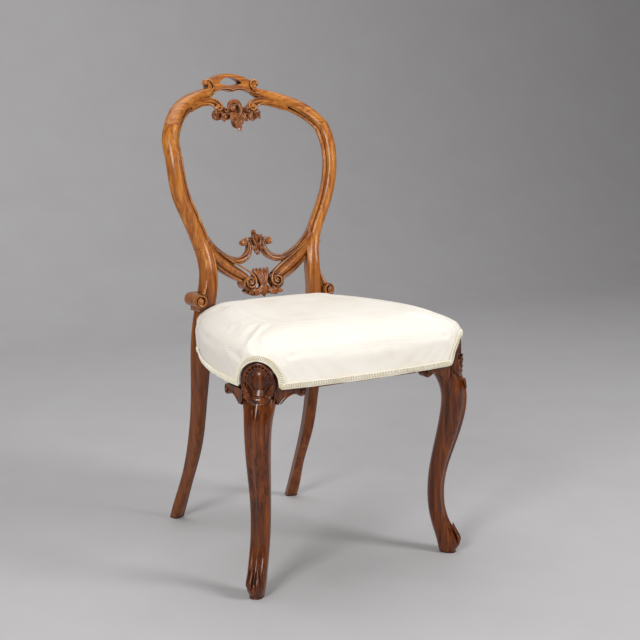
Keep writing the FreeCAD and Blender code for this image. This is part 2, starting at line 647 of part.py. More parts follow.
def tack_points(strips, lengthwise):
    """Three places across each end of each strip, over the middle of the rail."""
    places = []
    for strip in strips:
        bounds = strip.BoundBox
        for share in (-0.36, 0.0, 0.36):
            if lengthwise:
                x = (bounds.XMin + bounds.XMax) / 2 + share * WEBBING_WIDTH
                places += [Vec(x, bounds.YMin + 7, bounds.ZMin), Vec(x, bounds.YMax - 6, bounds.ZMin)]
            else:
                y = (bounds.YMin + bounds.YMax) / 2 + share * WEBBING_WIDTH
                edge = side_rail_inner_x(y) + 6
                places += [Vec(edge, y, bounds.ZMin), Vec(-edge, y, bounds.ZMin)]
    return places


def tack(place):
    """Upholstery tack driven up through the webbing into a rail."""
    head = Part.makeCylinder(TACK_HEAD / 2, 0.8, place - UP * 0.8)
    return head.fuse(Part.makeCylinder(0.8, TACK_LENGTH, place))


def dowel(middle, direction, length):
    """Dowel centred on a joint."""
    half = Vec(direction).normalize() * (length / 2)
    return rod(middle - half, middle + half, DOWEL_DIAMETER)


def bore(middle, direction, length):
    """Bore for a dowel, a little longer and wider than the dowel."""
    half = Vec(direction).normalize() * (length / 2 + 10 * DOWEL_CLEARANCE)
    return rod(middle - half, middle + half, DOWEL_DIAMETER + 2 * DOWEL_CLEARANCE)


def block_screw(head_point, direction):
    """Countersunk screw of a corner block: the screw and the bore that clears its head."""
    run = Vec(direction).normalize()
    shank = rod(head_point, head_point + run * SCREW_LENGTH, SCREW_SHANK)
    head = rod(head_point - run * 2.4, head_point + run * 0.4, SCREW_HEAD)
    clear = rod(head_point - run * 40, head_point + run * 0.4, SCREW_HEAD)
    return shank.fuse(head), shank.fuse(clear)


def both(shape):
    """The right piece and its mirror image."""
    return [shape, mirrored(shape)]


def finial(lower_rail):
    """Carved finial between the two rail horns: a bud over leaves and a hanging husk."""
    lobes = [(0, 570, 12, 17), (11, 574, 9, 8), (-11, 574, 9, 8), (0, 553, 6.5, 13)]
    leaves = [ellipsoid(back_point(x, z), (wide, 9.5, high)) for x, z, wide, high in lobes]
    bud = ellipsoid(back_point(0, FINIAL_TOP_Z - 6.5), (5.5, 5.5, 6.5))
    return bud.fuse(leaves).cut(lower_rail)


def volute_leaf(lower_rail):
    """Fluted leaf between the volutes, with a small leaf below it."""
    upper = ellipsoid(back_point(0, VOLUTE_Z + 2) - Vec(0, 9, 0), (15, 9, 24))
    lower = ellipsoid(back_point(0, VOLUTE_Z - 19) - Vec(0, 10, 0), (9, 6, 9))
    return upper.fuse(lower).cut(lower_rail)


def back_frame():
    """Stile with its ear and rail stub, lower rail, crest and the glued-on carvings."""
    plain_stile = stile_leg()
    arm = rail_arm()
    outside = joint_side()
    stile = plain_stile.fuse([arm.common(outside), ear_volute()])
    half_rail = largest(arm.cut(outside).cut(plain_stile))
    horn = largest(rail_horn().cut(outside).cut(plain_stile))
    half_rail = half_rail.fuse([horn, volute()])
    lower_rail = half_rail.fuse([mirrored(half_rail), rail_web()])
    crest = crest_blank()
    return {
        "stile": stile,
        "lower_back_rail": lower_rail,
        "crest_rail": crest,
        "crest_leaf_carving": crest_leaf().cut(crest),
        "finial_carving": finial(lower_rail),
        "volute_leaf_carving": volute_leaf(lower_rail)}


def seat_rails(seat, stile_foot):
    """Front, back and right side rail, with the upholstered outline outside."""
    ring = seat.common(box(-FAR, FAR, -FAR, FAR, RAIL_BOTTOM_Z, RAIL_TOP_Z))
    front = ring.common(box(
        -LEG_BLOCK_INNER_X, LEG_BLOCK_INNER_X, -FAR, FRONT_RAIL_INNER_Y, RAIL_BOTTOM_Z, RAIL_TOP_Z))
    side_zone = prism(
        [Vec(FAR, LEG_BLOCK_INNER_Y, 0), Vec(SIDE_RAIL_INNER_X, LEG_BLOCK_INNER_Y, 0),
         Vec(STILE_INNER_X + 6, BACK_RAIL_INNER_Y, 0), Vec(FAR, BACK_RAIL_INNER_Y, 0)],
        Vec(0, 0, RAIL_BOTTOM_Z), UP * FAR)
    side = largest(ring.common(side_zone).cut(stile_foot))
    back = ring.common(box(
        -STILE_INNER_X - 8, STILE_INNER_X + 8, BACK_RAIL_INNER_Y, FAR, RAIL_BOTTOM_Z, RAIL_TOP_Z))
    return front, side, largest(back.cut(both(stile_foot)))


def corner_blocks(stile_foot):
    """Right front and rear corner block, notched round the leg block and the stile."""
    low = Vec(0, 0, (RAIL_BOTTOM_Z + RAIL_TOP_Z - CORNER_BLOCK_HEIGHT) / 2)
    high = UP * CORNER_BLOCK_HEIGHT
    reach = CORNER_BLOCK_REACH
    side_y = LEG_BLOCK_INNER_Y + reach
    front = prism(
        [Vec(LEG_BLOCK_INNER_X - reach, FRONT_RAIL_INNER_Y, 0), Vec(LEG_BLOCK_INNER_X, FRONT_RAIL_INNER_Y, 0),
         Vec(LEG_BLOCK_INNER_X, LEG_BLOCK_INNER_Y, 0), Vec(SIDE_RAIL_INNER_X, LEG_BLOCK_INNER_Y, 0),
         Vec(side_rail_inner_x(side_y), side_y, 0)], low, high)
    rear_y = BACK_RAIL_INNER_Y - reach
    rear = prism(
        [Vec(STILE_INNER_X + 6 - reach, BACK_RAIL_INNER_Y, 0), Vec(STILE_INNER_X + 6, BACK_RAIL_INNER_Y, 0),
         Vec(side_rail_inner_x(rear_y), rear_y, 0)], low, high)
    return front, largest(rear.cut(stile_foot))


def block_screws():
    """Two screws in each corner block, and the bores that clear them."""
    z = (RAIL_BOTTOM_Z + RAIL_TOP_Z) / 2
    reach = CORNER_BLOCK_REACH
    side_y = LEG_BLOCK_INNER_Y + reach
    rear_y = BACK_RAIL_INNER_Y - reach
    places = [
        (Vec(LEG_BLOCK_INNER_X - reach + 16, FRONT_RAIL_INNER_Y + 18, z), Vec(0, -1, 0)),
        (Vec(side_rail_inner_x(side_y) - 16, side_y - 14, z), Vec(1, 0.25, 0)),
        (Vec(STILE_INNER_X + 6 - reach + 14, BACK_RAIL_INNER_Y - 9, z), Vec(0, 1, 0)),
        (Vec(side_rail_inner_x(rear_y) - 12, rear_y + 14, z), Vec(1, 0.25, 0))]
    screws = []
    bores = []
    for place, direction in places:
        screw, clear = block_screw(place, direction)
        screws += both(screw)
        bores += both(clear)
    return screws, bores


def joint_dowels():
    """Dowels of every joint by node name, and all their bores."""
    across = Vec(1, 0, 0.35)
    rail_joint = back_point(RAIL_JOINT_X, RAIL_JOINT_Z)
    front_y = (SEAT_KNEE_FRONT[1] + FRONT_RAIL_INNER_Y) / 2
    places = {
        "crest_dowels": [(CREST_JOINT, CREST_JOINT_ALONG)],
        "lower_rail_dowels": [
            (rail_joint + Vec(6, 0, -2), across), (rail_joint + Vec(10.5, 3, 17), across)],
        "front_rail_dowels": [(Vec(LEG_BLOCK_INNER_X - 9, front_y, z), Vec(1, 0, 0)) for z in DOWEL_HEIGHTS],
        "side_rail_front_dowels": [
            (Vec(SIDE_RAIL_INNER_X + 11, LEG_BLOCK_INNER_Y, z), Vec(0, 1, 0)) for z in DOWEL_HEIGHTS],
        "side_rail_rear_dowels": [
            (Vec(STILE_INNER_X + 17, BACK_RAIL_INNER_Y - 13, z), Vec(-0.2, 1, 0)) for z in DOWEL_HEIGHTS],
        "back_rail_dowels": [
            (Vec(STILE_INNER_X - 2, BACK_RAIL_INNER_Y + 12.5, z), Vec(1, 0, 0)) for z in DOWEL_HEIGHTS]}
    dowels = {}
    bores = []
    for name, joints in places.items():
        dowels[name] = []
        length = ARM_DOWEL_LENGTH if name == "lower_rail_dowels" else DOWEL_LENGTH
        for place, direction in joints:
            dowels[name] += both(dowel(place, direction, length))
            bores += both(bore(place, direction, length))
    return dowels, bores


def stuffed_seat(seat, stile_foot):
    """Hessian over the springs, hair stuffing, calico cover and gimp."""
    stiles = both(stile_foot)
    knees = both(knee_arch(0))
    carvings = both(knee_carving())
    tent = hessian_form(0)
    hessian = largest(hollow(tent, hessian_form(-HESSIAN_THICKNESS)).cut(stiles))
    above = seat.cut(box(-FAR, FAR, -FAR, FAR, 0, RAIL_TOP_Z))
    stuffing = largest(above.cut([tent] + stiles + carvings))
    outer = seat_form(COVER_THICKNESS)
    cover = largest(hollow(outer, seat).cut(knees + stiles))
    band = box(-FAR, FAR, -FAR, FAR, RAIL_BOTTOM_Z, RAIL_BOTTOM_Z + GIMP_WIDTH)
    zone = band.fuse(both(knee_arch(GIMP_WIDTH))).cut(knees + stiles)
    gimp = zone.common(hollow(seat_form(COVER_THICKNESS + GIMP_THICKNESS), outer))
    strips = [solid for solid in gimp.Solids if solid.Volume > 300]
    behind = SEAT_BACK_Y - 20
    return {
        "hessian": hessian,
        "hair_stuffing": stuffing,
        "seat_cover": cover,
        "gimp_front_and_sides": Part.Compound([s for s in strips if s.CenterOfMass.y < behind]),
        "gimp_back": Part.Compound([s for s in strips if s.CenterOfMass.y >= behind])}


def drilled(shape, tools):
    """The main solid of a piece once the bores that reach it are made."""
    near = [tool for tool in tools if tool.BoundBox.intersect(shape.BoundBox)]
    return largest(shape.cut(near)) if near else shape


def build():
    """Every named piece of the chair."""
    seat = seat_form(0)
    back = back_frame()
    stile = back.pop("stile")
    stile_foot = stile.common(box(0, FAR, 0, FAR, RAIL_BOTTOM_Z - 5, SEAT_CROWN_Z + 20))
    leg = front_leg(seat)
    front_rail, side_rail, back_rail = seat_rails(seat, stile_foot)
    front_block, rear_block = corner_blocks(stile_foot)
    screws, screw_bores = block_screws()
    dowels, bores = joint_dowels()
    lengthwise = webbing_strips(3, True)
    crosswise = webbing_strips(3, False)
    tacks = [tack(place) for place in tack_points(lengthwise, True) + tack_points(crosswise, False)]
    fastened = bores + screw_bores + tacks

    pieces = {
        "crest_rail": drilled(back["crest_rail"], bores),
        "crest_leaf_carving": back["crest_leaf_carving"],
        "lower_back_rail": drilled(back["lower_back_rail"], bores),
        "finial_carving": back["finial_carving"],
        "volute_leaf_carving": back["volute_leaf_carving"],
        "front_seat_rail": drilled(front_rail, fastened),
        "back_seat_rail": drilled(back_rail, fastened),
        "webbing_lengthwise": Part.Compound([drilled(strip, tacks) for strip in lengthwise]),
        "webbing_crosswise": Part.Compound([drilled(strip, tacks) for strip in crosswise]),
        "webbing_tacks": Part.Compound(tacks),
        "corner_block_screws": Part.Compound(screws)}
    pieces.update(stuffed_seat(seat, stile_foot))

    ear_front = largest(front_ear().cut(leg))
    ear_side = front_ear().mirror(Vec(FRONT_FOOT_X, 0, 0), ACROSS)
    ear_side.translate(Vec(-5, -KNEE_EAR_SIDE_SHIFT, 0))
    sided = {
        "stile_and_rear_leg": drilled(stile, bores),
        "front_leg": drilled(leg, bores),
        "knee_ear_front": ear_front,
        "knee_ear_side": largest(ear_side.cut(leg)),
        "side_seat_rail": drilled(side_rail, fastened),
        "front_corner_block": drilled(front_block, screw_bores),
        "rear_corner_block": drilled(rear_block, screw_bores)}
    for name, shape in sided.items():
        pieces[name + "_right"] = shape
        pieces[name + "_left"] = mirrored(shape)
    for name, group in dowels.items():
        pieces[name] = Part.Compound(group)
    middle_y = (SEAT_FRONT_Y + SEAT_BACK_Y) / 2
    places = [(0, middle_y)]
    for x in (-WEBBING_PITCH, WEBBING_PITCH):
        for y in (middle_y - WEBBING_PITCH, middle_y + WEBBING_PITCH):
            places.append((x, y))
    for i, (x, y) in enumerate(places):
        pieces["seat_spring_%d" % (i + 1)] = spring(x, y)
    return pieces


chair = build()
outermost = [chair[name] for name in ("crest_rail", "stile_and_rear_leg_right", "gimp_front_and_sides", "seat_cover")]
depth = Part.Compound(outermost).optimalBoundingBox(False, False)
to_middle = Vec(0, -(depth.YMin + depth.YMax) / 2, 0)
for name, shape in chair.items():
    shape.translate(to_middle)
    shape.exportStep("parts/%s.step" % name)
    print(name, len(shape.Solids), round(shape.Volume / 1000, 1), shape.isValid())
print("moved by", round(to_middle.y, 2), "height", round(depth.ZMax, 1))
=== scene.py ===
import math

import bpy
from mathutils import Matrix, Vector
from mathutils.bvhtree import BVHTree


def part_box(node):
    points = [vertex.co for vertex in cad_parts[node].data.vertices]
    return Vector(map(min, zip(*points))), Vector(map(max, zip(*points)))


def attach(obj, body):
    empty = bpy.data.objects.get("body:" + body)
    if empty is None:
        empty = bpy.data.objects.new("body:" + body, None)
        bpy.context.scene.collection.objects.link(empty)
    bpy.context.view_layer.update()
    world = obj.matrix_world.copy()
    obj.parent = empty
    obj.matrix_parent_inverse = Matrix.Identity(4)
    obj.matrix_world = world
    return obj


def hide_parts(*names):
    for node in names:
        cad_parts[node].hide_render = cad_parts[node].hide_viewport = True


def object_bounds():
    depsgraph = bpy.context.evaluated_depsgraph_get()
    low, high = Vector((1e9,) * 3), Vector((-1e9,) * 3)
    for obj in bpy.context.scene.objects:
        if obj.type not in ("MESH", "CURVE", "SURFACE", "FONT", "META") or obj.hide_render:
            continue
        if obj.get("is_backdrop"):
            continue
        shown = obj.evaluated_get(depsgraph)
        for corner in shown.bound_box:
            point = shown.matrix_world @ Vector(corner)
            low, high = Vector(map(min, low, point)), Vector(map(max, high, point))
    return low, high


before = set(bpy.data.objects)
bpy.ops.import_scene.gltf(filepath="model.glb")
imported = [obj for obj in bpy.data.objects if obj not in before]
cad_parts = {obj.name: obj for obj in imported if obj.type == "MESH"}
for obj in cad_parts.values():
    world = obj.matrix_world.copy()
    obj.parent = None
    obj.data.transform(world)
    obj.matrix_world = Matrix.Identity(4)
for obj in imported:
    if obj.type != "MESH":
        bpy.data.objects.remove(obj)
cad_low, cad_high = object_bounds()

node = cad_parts

# STILES AND REAR LEGS
# Each stile and its rear leg is one length of walnut, sawn to a sabre curve below and bowed
# to the balloon above, then rubbed down and French polished. Hands have worn the top golden, and the lower
# part is darkened partly as less worn wood and partly as painted shade towards the floor.

def linear(code):
    """Linear colour of an sRGB hex value."""
    parts = [int(code[i:i + 2], 16) / 255 for i in (1, 3, 5)]
    return [p / 12.92 if p <= 0.04045 else ((p + 0.055) / 1.055) ** 2.4 for p in parts] + [1]


def put(material, kind, sockets=(), stops=(), **settings):
    """Adds one node with its settings, inputs or links, and the hex colours of a ramp."""
    made = material.node_tree.nodes.new("ShaderNode" + kind)
    for name, value in settings.items():
        setattr(made, name, value)
    for name, value in dict(sockets).items():
        if isinstance(value, bpy.types.NodeSocket):
            material.node_tree.links.new(value, made.inputs[name])
        else:
            made.inputs[name].default_value = value
    for number, (place, code) in enumerate(stops):
        if number > 1:
            made.color_ramp.elements.new(place)
        made.color_ramp.elements[number].position = place
        made.color_ramp.elements[number].color = linear(code)
    return made


def blank(name):
    """New material with only its shader and output left in it."""
    material = bpy.data.materials.new(name)
    material.use_nodes = True
    shader = material.node_tree.nodes["Principled BSDF"]
    return material, shader


def polished_walnut(name, stops, grain, shade="#2a1206", recess=0.008, polish=0.30, worn_and_shaded=None):
    """French-polished walnut: soft-edged figure along the grain, dark pores, painted shade in recesses."""
    material, shader = blank(name)
    place = put(material, "TexCoord").outputs["Object"]
    # figure about 9 mm wide and 150 mm long, pores about 0.5 mm wide, drawn as 1 mm to show
    wide = put(material, "Mapping", {"Vector": place, "Scale": [110 * g for g in grain]})
    figure = put(material, "TexNoise", {"Vector": wide.outputs[0], "Scale": 1.0, "Detail": 4.0,
                                        "Roughness": 0.55, "Distortion": 0.9})
    fine = put(material, "Mapping", {"Vector": place, "Scale": [700 * g for g in grain]})
    pores = put(material, "TexNoise", {"Vector": fine.outputs[0], "Scale": 1.0, "Detail": 2.0})
    blend = put(material, "Math", {0: pores.outputs["Fac"], 1: 0.35}, operation="MULTIPLY").outputs[0]
    blend = put(material, "Math", {0: figure.outputs["Fac"], 1: blend}, operation="ADD").outputs[0]
    blend = put(material, "Math", {0: blend, 1: 0.17}, operation="SUBTRACT").outputs[0]
    colour = put(material, "ValToRGB", {"Fac": blend}, stops).outputs["Color"]
    # below the given heights the colour is multiplied darker: partly less worn wood, partly painted shade
    # towards the floor
    if worn_and_shaded:
        high, low, code = worn_and_shaded
        height = put(material, "SeparateXYZ", {0: place}).outputs["Z"]
        share = put(material, "MapRange", {"Value": height, "From Min": low, "From Max": high}).outputs[0]
        aged_and_shaded = put(material, "Mix", {0: 1.0, 6: colour, 7: linear(code)}, data_type="RGBA",
                   blend_type="MULTIPLY").outputs[2]
        colour = put(material, "Mix", {0: share, 6: aged_and_shaded, 7: colour}, data_type="RGBA").outputs[2]
    # painted shade: recesses found by ambient occlusion are darkened toward the shade colour
    painted_shade = put(material, "AmbientOcclusion", {"Distance": recess}, samples=8).outputs["AO"]
    painted_shade = put(material, "MapRange", {"Value": painted_shade, "From Min": 0.35, "From Max": 0.92}).outputs[0]
    colour = put(material, "Mix", {0: painted_shade, 6: linear(shade), 7: colour}, data_type="RGBA").outputs[2]
    material.node_tree.links.new(colour, shader.inputs["Base Color"])
    rubbed = put(material, "MapRange", {"Value": figure.outputs["Fac"], "To Min": polish - 0.06,
                                        "To Max": polish + 0.10}).outputs[0]
    material.node_tree.links.new(rubbed, shader.inputs["Roughness"])
    # old shellac, rubbed thin: it reflects less than a new gloss
    shader.inputs["IOR"].default_value = 1.5
    shader.inputs["Specular IOR Level"].default_value = 0.35
    shader.inputs["Coat Weight"].default_value = 0.28
    shader.inputs["Coat Roughness"].default_value = 0.16
    relief = put(material, "Bump", {"Height": blend, "Strength": 0.12, "Distance": 0.0006})
    material.node_tree.links.new(relief.outputs[0], shader.inputs["Normal"])
    return material


# walnut sap and heart under an amber polish: orange-gold where rubbed, brown where it is thick
GOLD = [(0.25, "#74390e"), (0.45, "#a45d1e"), (0.62, "#c07a2d"), (0.85, "#d79a4b")]
# from 0.56 m down to 0.36 m the stiles fade to a grey-brown multiply: partly less worn wood, partly painted
# shade
stile_polish = polished_walnut("french_polished_walnut_stiles", GOLD, (1, 1, 0.07),
                               worn_and_shaded=(0.56, 0.36, "#ac957c"))


def coat(piece, material):
    """Gives a piece this one material."""
    piece.data.materials.clear()
    piece.data.materials.append(material)


for side in ("right", "left"):
    coat(node["stile_and_rear_leg_" + side], stile_polish)

# SCROLL EARS OF THE STILES
# At the seat each stile ends in a carved ear: a raised C scroll round a boss on the front,
# cut in the stile's own wood with gouges and left with a crisp rim.

MM = 0.001
MIDDLE_Y = 216.62


def back_y(x, z):
    """Depth of the bowed back surface in the row frame, in millimetres."""
    bow = 0.00078 + 0.00101 * min(max((z - 466) / 327, 0), 1)
    return 341 - MIDDLE_Y + 0.28 * (z - 480) + 0.00045 * max(z - 700, 0) ** 2 - bow * x * x


def back(x, z, proud=0.0):
    """Point that stands proud of the back surface by so many millimetres, in metres."""
    slope_x = (back_y(x + 1, z) - back_y(x - 1, z)) / 2
    slope_z = (back_y(x, z + 1) - back_y(x, z - 1)) / 2
    front = Vector((slope_x, -1, slope_z)).normalized()
    return (Vector((x, back_y(x, z), z)) + front * proud) * MM


def clear():
    """Leaves nothing selected."""
    if bpy.context.object and bpy.context.object.mode != "OBJECT":
        bpy.ops.object.mode_set(mode="OBJECT")
    bpy.ops.object.select_all(action="DESELECT")


def alone(piece):
    """Makes a piece the only one selected, and the active one."""
    clear()
    piece.select_set(True)
    bpy.context.view_layer.objects.active = piece


def place_applied(piece):
    """Moves a piece's place into its mesh."""
    alone(piece)
    bpy.ops.object.transform_apply(location=True, rotation=True, scale=True)
    return piece


def blob(centre, radii, turn=(0, 0, 0), segments=24):
    """Rounded boss: a ball squeezed to three radii in millimetres."""
    clear()
    bpy.ops.mesh.primitive_uv_sphere_add(segments=segments, ring_count=segments // 2, radius=MM,
                                         location=centre, rotation=turn)
    ball = bpy.context.object
    ball.scale = radii
    return place_applied(ball)


def bead(points, radii):
    """Round bead along points, with a radius in millimetres at each, made a mesh."""
    curve = bpy.data.curves.new("bead", "CURVE")
    curve.dimensions = "3D"
    curve.bevel_depth = MM
    curve.bevel_resolution = 3
    curve.resolution_u = 6
    curve.use_fill_caps = True
    spline = curve.splines.new("NURBS")
    spline.points.add(len(points) - 1)
    for i, point in enumerate(points):
        spline.points[i].co = (*point, 1)
        spline.points[i].radius = radii[i] if hasattr(radii, "__len__") else radii
    spline.order_u = 4
    spline.use_endpoint_u = True
    piece = bpy.data.objects.new("bead", curve)
    bpy.context.scene.collection.objects.link(piece)
    alone(piece)
    bpy.ops.object.convert(target="MESH")
    return bpy.context.object


def joined(name, parts):
    """One piece made of several."""
    clear()
    for part in parts:
        part.select_set(True)
    bpy.context.view_layer.objects.active = parts[0]
    bpy.ops.object.join()
    bpy.context.object.name = name
    return bpy.context.object


def carved(name, parts, grain=0.7, soften=4):
    """Joins rough parts into one closed carving and takes off the saw-cut edges."""
    piece = joined(name, parts)
    fused = piece.modifiers.new("fused", "REMESH")
    fused.mode = "VOXEL"
    fused.voxel_size = grain * MM
    bpy.ops.object.modifier_apply(modifier="fused")
    rubbed = piece.modifiers.new("rubbed", "SMOOTH")
    rubbed.factor = 0.5
    rubbed.iterations = soften
    bpy.ops.object.modifier_apply(modifier="rubbed")
    bpy.ops.object.shade_smooth()
    return piece


def fitted(piece, material, slot, *stands_for):
    """Coats a finished piece and lets it ride on the chair."""
    coat(piece, material)
    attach(piece, "root")
    if stands_for:
        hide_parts(*stands_for)
    return piece


def spiral(at, start_turn, turns, outer, inner, steps=26, way=1):
    """Points of a spiral that winds in, given a function from flat place to space."""
    points = []
    for i in range(steps + 1):
        share = i / steps
        angle = start_turn + way * 2 * math.pi * turns * share
        radius = outer + (inner - outer) * share ** 0.8
        points.append(at(radius * math.cos(angle), radius * math.sin(angle)))
    return points


EAR = Vector((144, 317 - MIDDLE_Y, 468))
for side, sign in (("right", 1), ("left", -1)):
    def on_ear(a, b):
        return Vector(((EAR.x + a) * sign, EAR.y - 1.0, EAR.z + b)) * MM
    rim = spiral(on_ear, 1.2, 1.05, 11.0, 7.5, way=1)
    widths = [1.0 + 1.7 * math.sin(math.pi * min(1, i / 20)) for i in range(len(rim))]
    parts = [bead(rim, widths), blob(on_ear(1.0, 0), (5.4, 4.2, 6.4)),
             blob(on_ear(1.5, -0.5) - Vector((0, 2.5 * MM, 0)), (2.4, 2.2, 2.4))]
    drape = [Vector((x * sign, y - MIDDLE_Y, z)) * MM for x, y, z in
             ((138, 322, 480), (132, 324, 490), (128, 326, 502), (125.5, 329, 515), (124.5, 333, 528))]
    parts.append(bead(drape, [4.4, 3.8, 3.0, 2.0, 0.4]))
    fitted(carved("ear_scroll_" + side, parts, 0.6), stile_polish, "gilt_walnut")

# LOWER BACK RAIL
# Two moulded arms meet in a pair of volutes, and thinner horns spring from them to the finial.
# The rail is walnut, worked with a scratch stock and gouges; a fine bead follows each edge.

# the polish lies thicker between the arms, so the walnut reads a shade deeper than the stiles
rail_polish = polished_walnut(
    "french_polished_walnut_rail",
    [(0.25, "#5a2808"), (0.45, "#8a4a14"), (0.65, "#ac6820"), (0.88, "#c98636")], (0.35, 1, 0.35),
    recess=0.010, polish=0.26)
coat(node["lower_back_rail"], rail_polish)
# high edges are rubbed back to paler wood, and the wood beside them is darkened as painted shade
edge_polish = polished_walnut(
    "polished_walnut_worn_edges",
    [(0.25, "#5a2a0e"), (0.5, "#96571f"), (0.85, "#c48a4a")], (0.4, 1, 0.4), recess=0.004, polish=0.24)

parts = []
for sign in (1, -1):
    def on_back(x, z, proud):
        return back(x * sign, z, proud)
    # bead along the upper edge of the arm, which winds into the volute
    run = [on_back(x, z, p) for x, z, p in
           ((106, 562, 12.5), (96, 554, 13), (84, 545, 13), (68, 534.5, 13.2), (52, 525.5, 13.5),
            (37, 516, 14.5), (24.5, 506.5, 16), (18.6, 498, 16.5))]
    wind = spiral(lambda a, b: on_back(31 + a, 491.5 + b, 17.0), math.pi * 1.02, 1.35, 12.6, 4.2, 30, 1)
    radii = [0.8, 1.3, 1.5, 1.6, 1.7, 1.9, 2.1, 2.2] + [2.2 - 0.9 * i / 30 for i in range(31)]
    parts.append(bead(run + wind, radii))
    parts.append(blob(on_back(31, 491.5, 17.0), (3.4, 3.2, 3.4)))
    # under edge of the arm
    low = [on_back(x, z, p) for x, z, p in
           ((103, 530, 10.5), (88, 517, 11), (70, 503.5, 11.5), (56, 496, 12), (46, 491, 12.5))]
    parts.append(bead(low, [0.7, 1.1, 1.2, 1.2, 0.8]))
    # S scroll of the horn: two fine edges on its ribbon, rolled outward at the top
    for lift, reach, size in ((4.4, 9.0, 1.35), (-3.4, 9.5, 1.0)):
        horn = [(118, 584, 9), (110, 571, reach), (98, 558.5, reach), (84, 548, reach), (68, 539.5, reach),
                (52, 535, reach), (37, 536, reach), (25, 542, reach), (17, 551, reach), (14, 562, reach),
                (17.5, 571, reach), (24, 574.5, reach)]
        line = []
        for i, (x, z, p) in enumerate(horn):
            before, after = horn[max(i - 1, 0)], horn[min(i + 1, len(horn) - 1)]
            run_x, run_z = after[0] - before[0], after[1] - before[1]
            length = math.hypot(run_x, run_z)
            line.append(on_back(x - run_z / length * -lift, z + run_x / length * -lift, p))
        parts.append(bead(line, [0.5] + [size] * 10 + [0.8]))
    curl = spiral(lambda a, b: on_back(27.5 + a, 568 + b, 9.5), math.pi * 0.75, 0.95, 7.6, 3.0, 18, -1)
    parts.append(bead(curl, [1.6 + 1.2 * math.sin(math.pi * i / 18) for i in range(19)]))
    parts.append(blob(on_back(27.5, 567.5, 9.5), (4.4, 5.0, 4.2)))
rail_edges = carved("lower_rail_beads_and_scrolls", parts, 0.7, 3)
fitted(rail_edges, edge_polish, "gilt_walnut")

# VOLUTE LEAF
# A fluted palm leaf fills the gap between the volutes, with a smooth tongue and acanthus
# below it. It is carved from a darker scrap of walnut and glued to the rail.

# walnut stained before it was polished: redder, with near-black painted shade in the hollows between the
# leaves
carving_polish = polished_walnut(
    "stained_walnut_carving",
    [(0.25, "#5a2b12"), (0.5, "#864a20"), (0.7, "#a4622c"), (0.9, "#c28444")], (1, 1, 0.3),
    shade="#1c0b04", recess=0.006, polish=0.24)


def leaf(root, along, front, length, width, curl=0.6, cup=0.22, lobes=3, thick=2.4, sweep=0.0, vein=0.07):
    """One carved leaf, in millimetres: lobed edge, raised vein, flutes to each lobe, curled tip."""
    clear()
    bpy.ops.mesh.primitive_grid_add(x_subdivisions=30, y_subdivisions=18, size=2)
    piece = bpy.context.object
    along = Vector(along).normalized()
    across = along.cross(Vector(front)).normalized()
    front = across.cross(along)
    path = [(0.0, 0.0)]
    for i in range(30):
        angle = curl * ((i + 0.5) / 30) ** 1.6
        path.append((path[-1][0] + math.cos(angle) / 30, path[-1][1] + math.sin(angle) / 30))
    for vertex in piece.data.vertices:
        u = (vertex.co.x + 1) / 2
        v = vertex.co.y
        step = min(int(round(u * 30)), 30)
        half = width / 2 * math.sin(math.pi * (0.14 + 0.86 * u)) ** 0.7
        notch = abs(math.cos(math.pi * lobes * u)) ** 8
        half *= 1 - 0.30 * notch * min(1, 6 * u) * (1 if u < 0.93 else 0)
        rise = cup * width * v * v * 0.5
        rise += vein * width * math.exp(-(v / 0.16) ** 2)
        rise -= 0.055 * width * abs(v) * math.cos(2 * math.pi * lobes * u - 2.2 * abs(v))
        lean = math.sin(curl * u ** 1.6)
        spot = along * (path[step][0] * length - rise * lean)
        spot += front * (path[step][1] * length + rise * math.sqrt(max(0, 1 - lean * lean)))
        spot += across * (half * v + sweep * length * u * u)
        vertex.co = Vector(root) + spot * MM
    thickness = piece.modifiers.new("thickness", "SOLIDIFY")
    thickness.thickness = thick * MM
    thickness.offset = -1
    thickness.use_even_offset = False
    bpy.ops.object.modifier_apply(modifier="thickness")
    return piece


FRONT = Vector((0, -1, 0.28))
parts = []
for i, (x, tilt) in enumerate(((0, 0), (5.5, 0.14), (-5.5, -0.14), (10.5, 0.30), (-10.5, -0.30))):
    flute = [back(x * share + 2.0 * math.sin(tilt) * rise, z, p) for share, rise, z, p in
             ((0.34, 0, 477, 11.0), (0.46, 1, 485, 12.5), (0.64, 2, 494, 13), (0.88, 3, 504, 12),
              (1.14, 4, 512, 10), (1.30, 5, 516.5, 6.5))]
    parts.append(bead(flute, [1.5, 2.0, 2.6, 3.1, 3.2, 2.6]))
parts.append(blob(back(0, 496, 4), (13, 8.0, 18)))
parts.append(leaf(back(0, 483, 15), (0, 0.05, -1), FRONT, 19, 15, curl=-0.35, cup=-0.55, lobes=1,
                  thick=5, vein=0.1))
parts.append(blob(back(0, 474, 12.5), (6.0, 4.5, 8.0)))
for sign in (1, -1):
    parts.append(leaf(back(6 * sign, 477, 12), (sign, 0, -0.50), FRONT, 25, 15, curl=0.9, lobes=3,
                      thick=3, sweep=0.1 * sign))
    parts.append(leaf(back(16 * sign, 476, 10), (sign, 0, -0.20), FRONT, 26, 15, curl=0.8, lobes=3,
                      thick=3, sweep=0.1 * sign))
    parts.append(leaf(back(26 * sign, 482, 8), (sign, 0, 0.0), FRONT, 18, 15, curl=0.6, lobes=2, thick=3))
    parts.append(blob(back(27 * sign, 475, 5), (13, 6, 6)))
fitted(carved("volute_leaf", parts, 0.65, 3), carving_polish, "red_walnut", "volute_leaf_carving")

# FINIAL
# The bud between the two horns: an open bud over a collar of leaves, with a husk that hangs
# below. Carved in one piece with the horns' ends and picked out with a fine veiner.

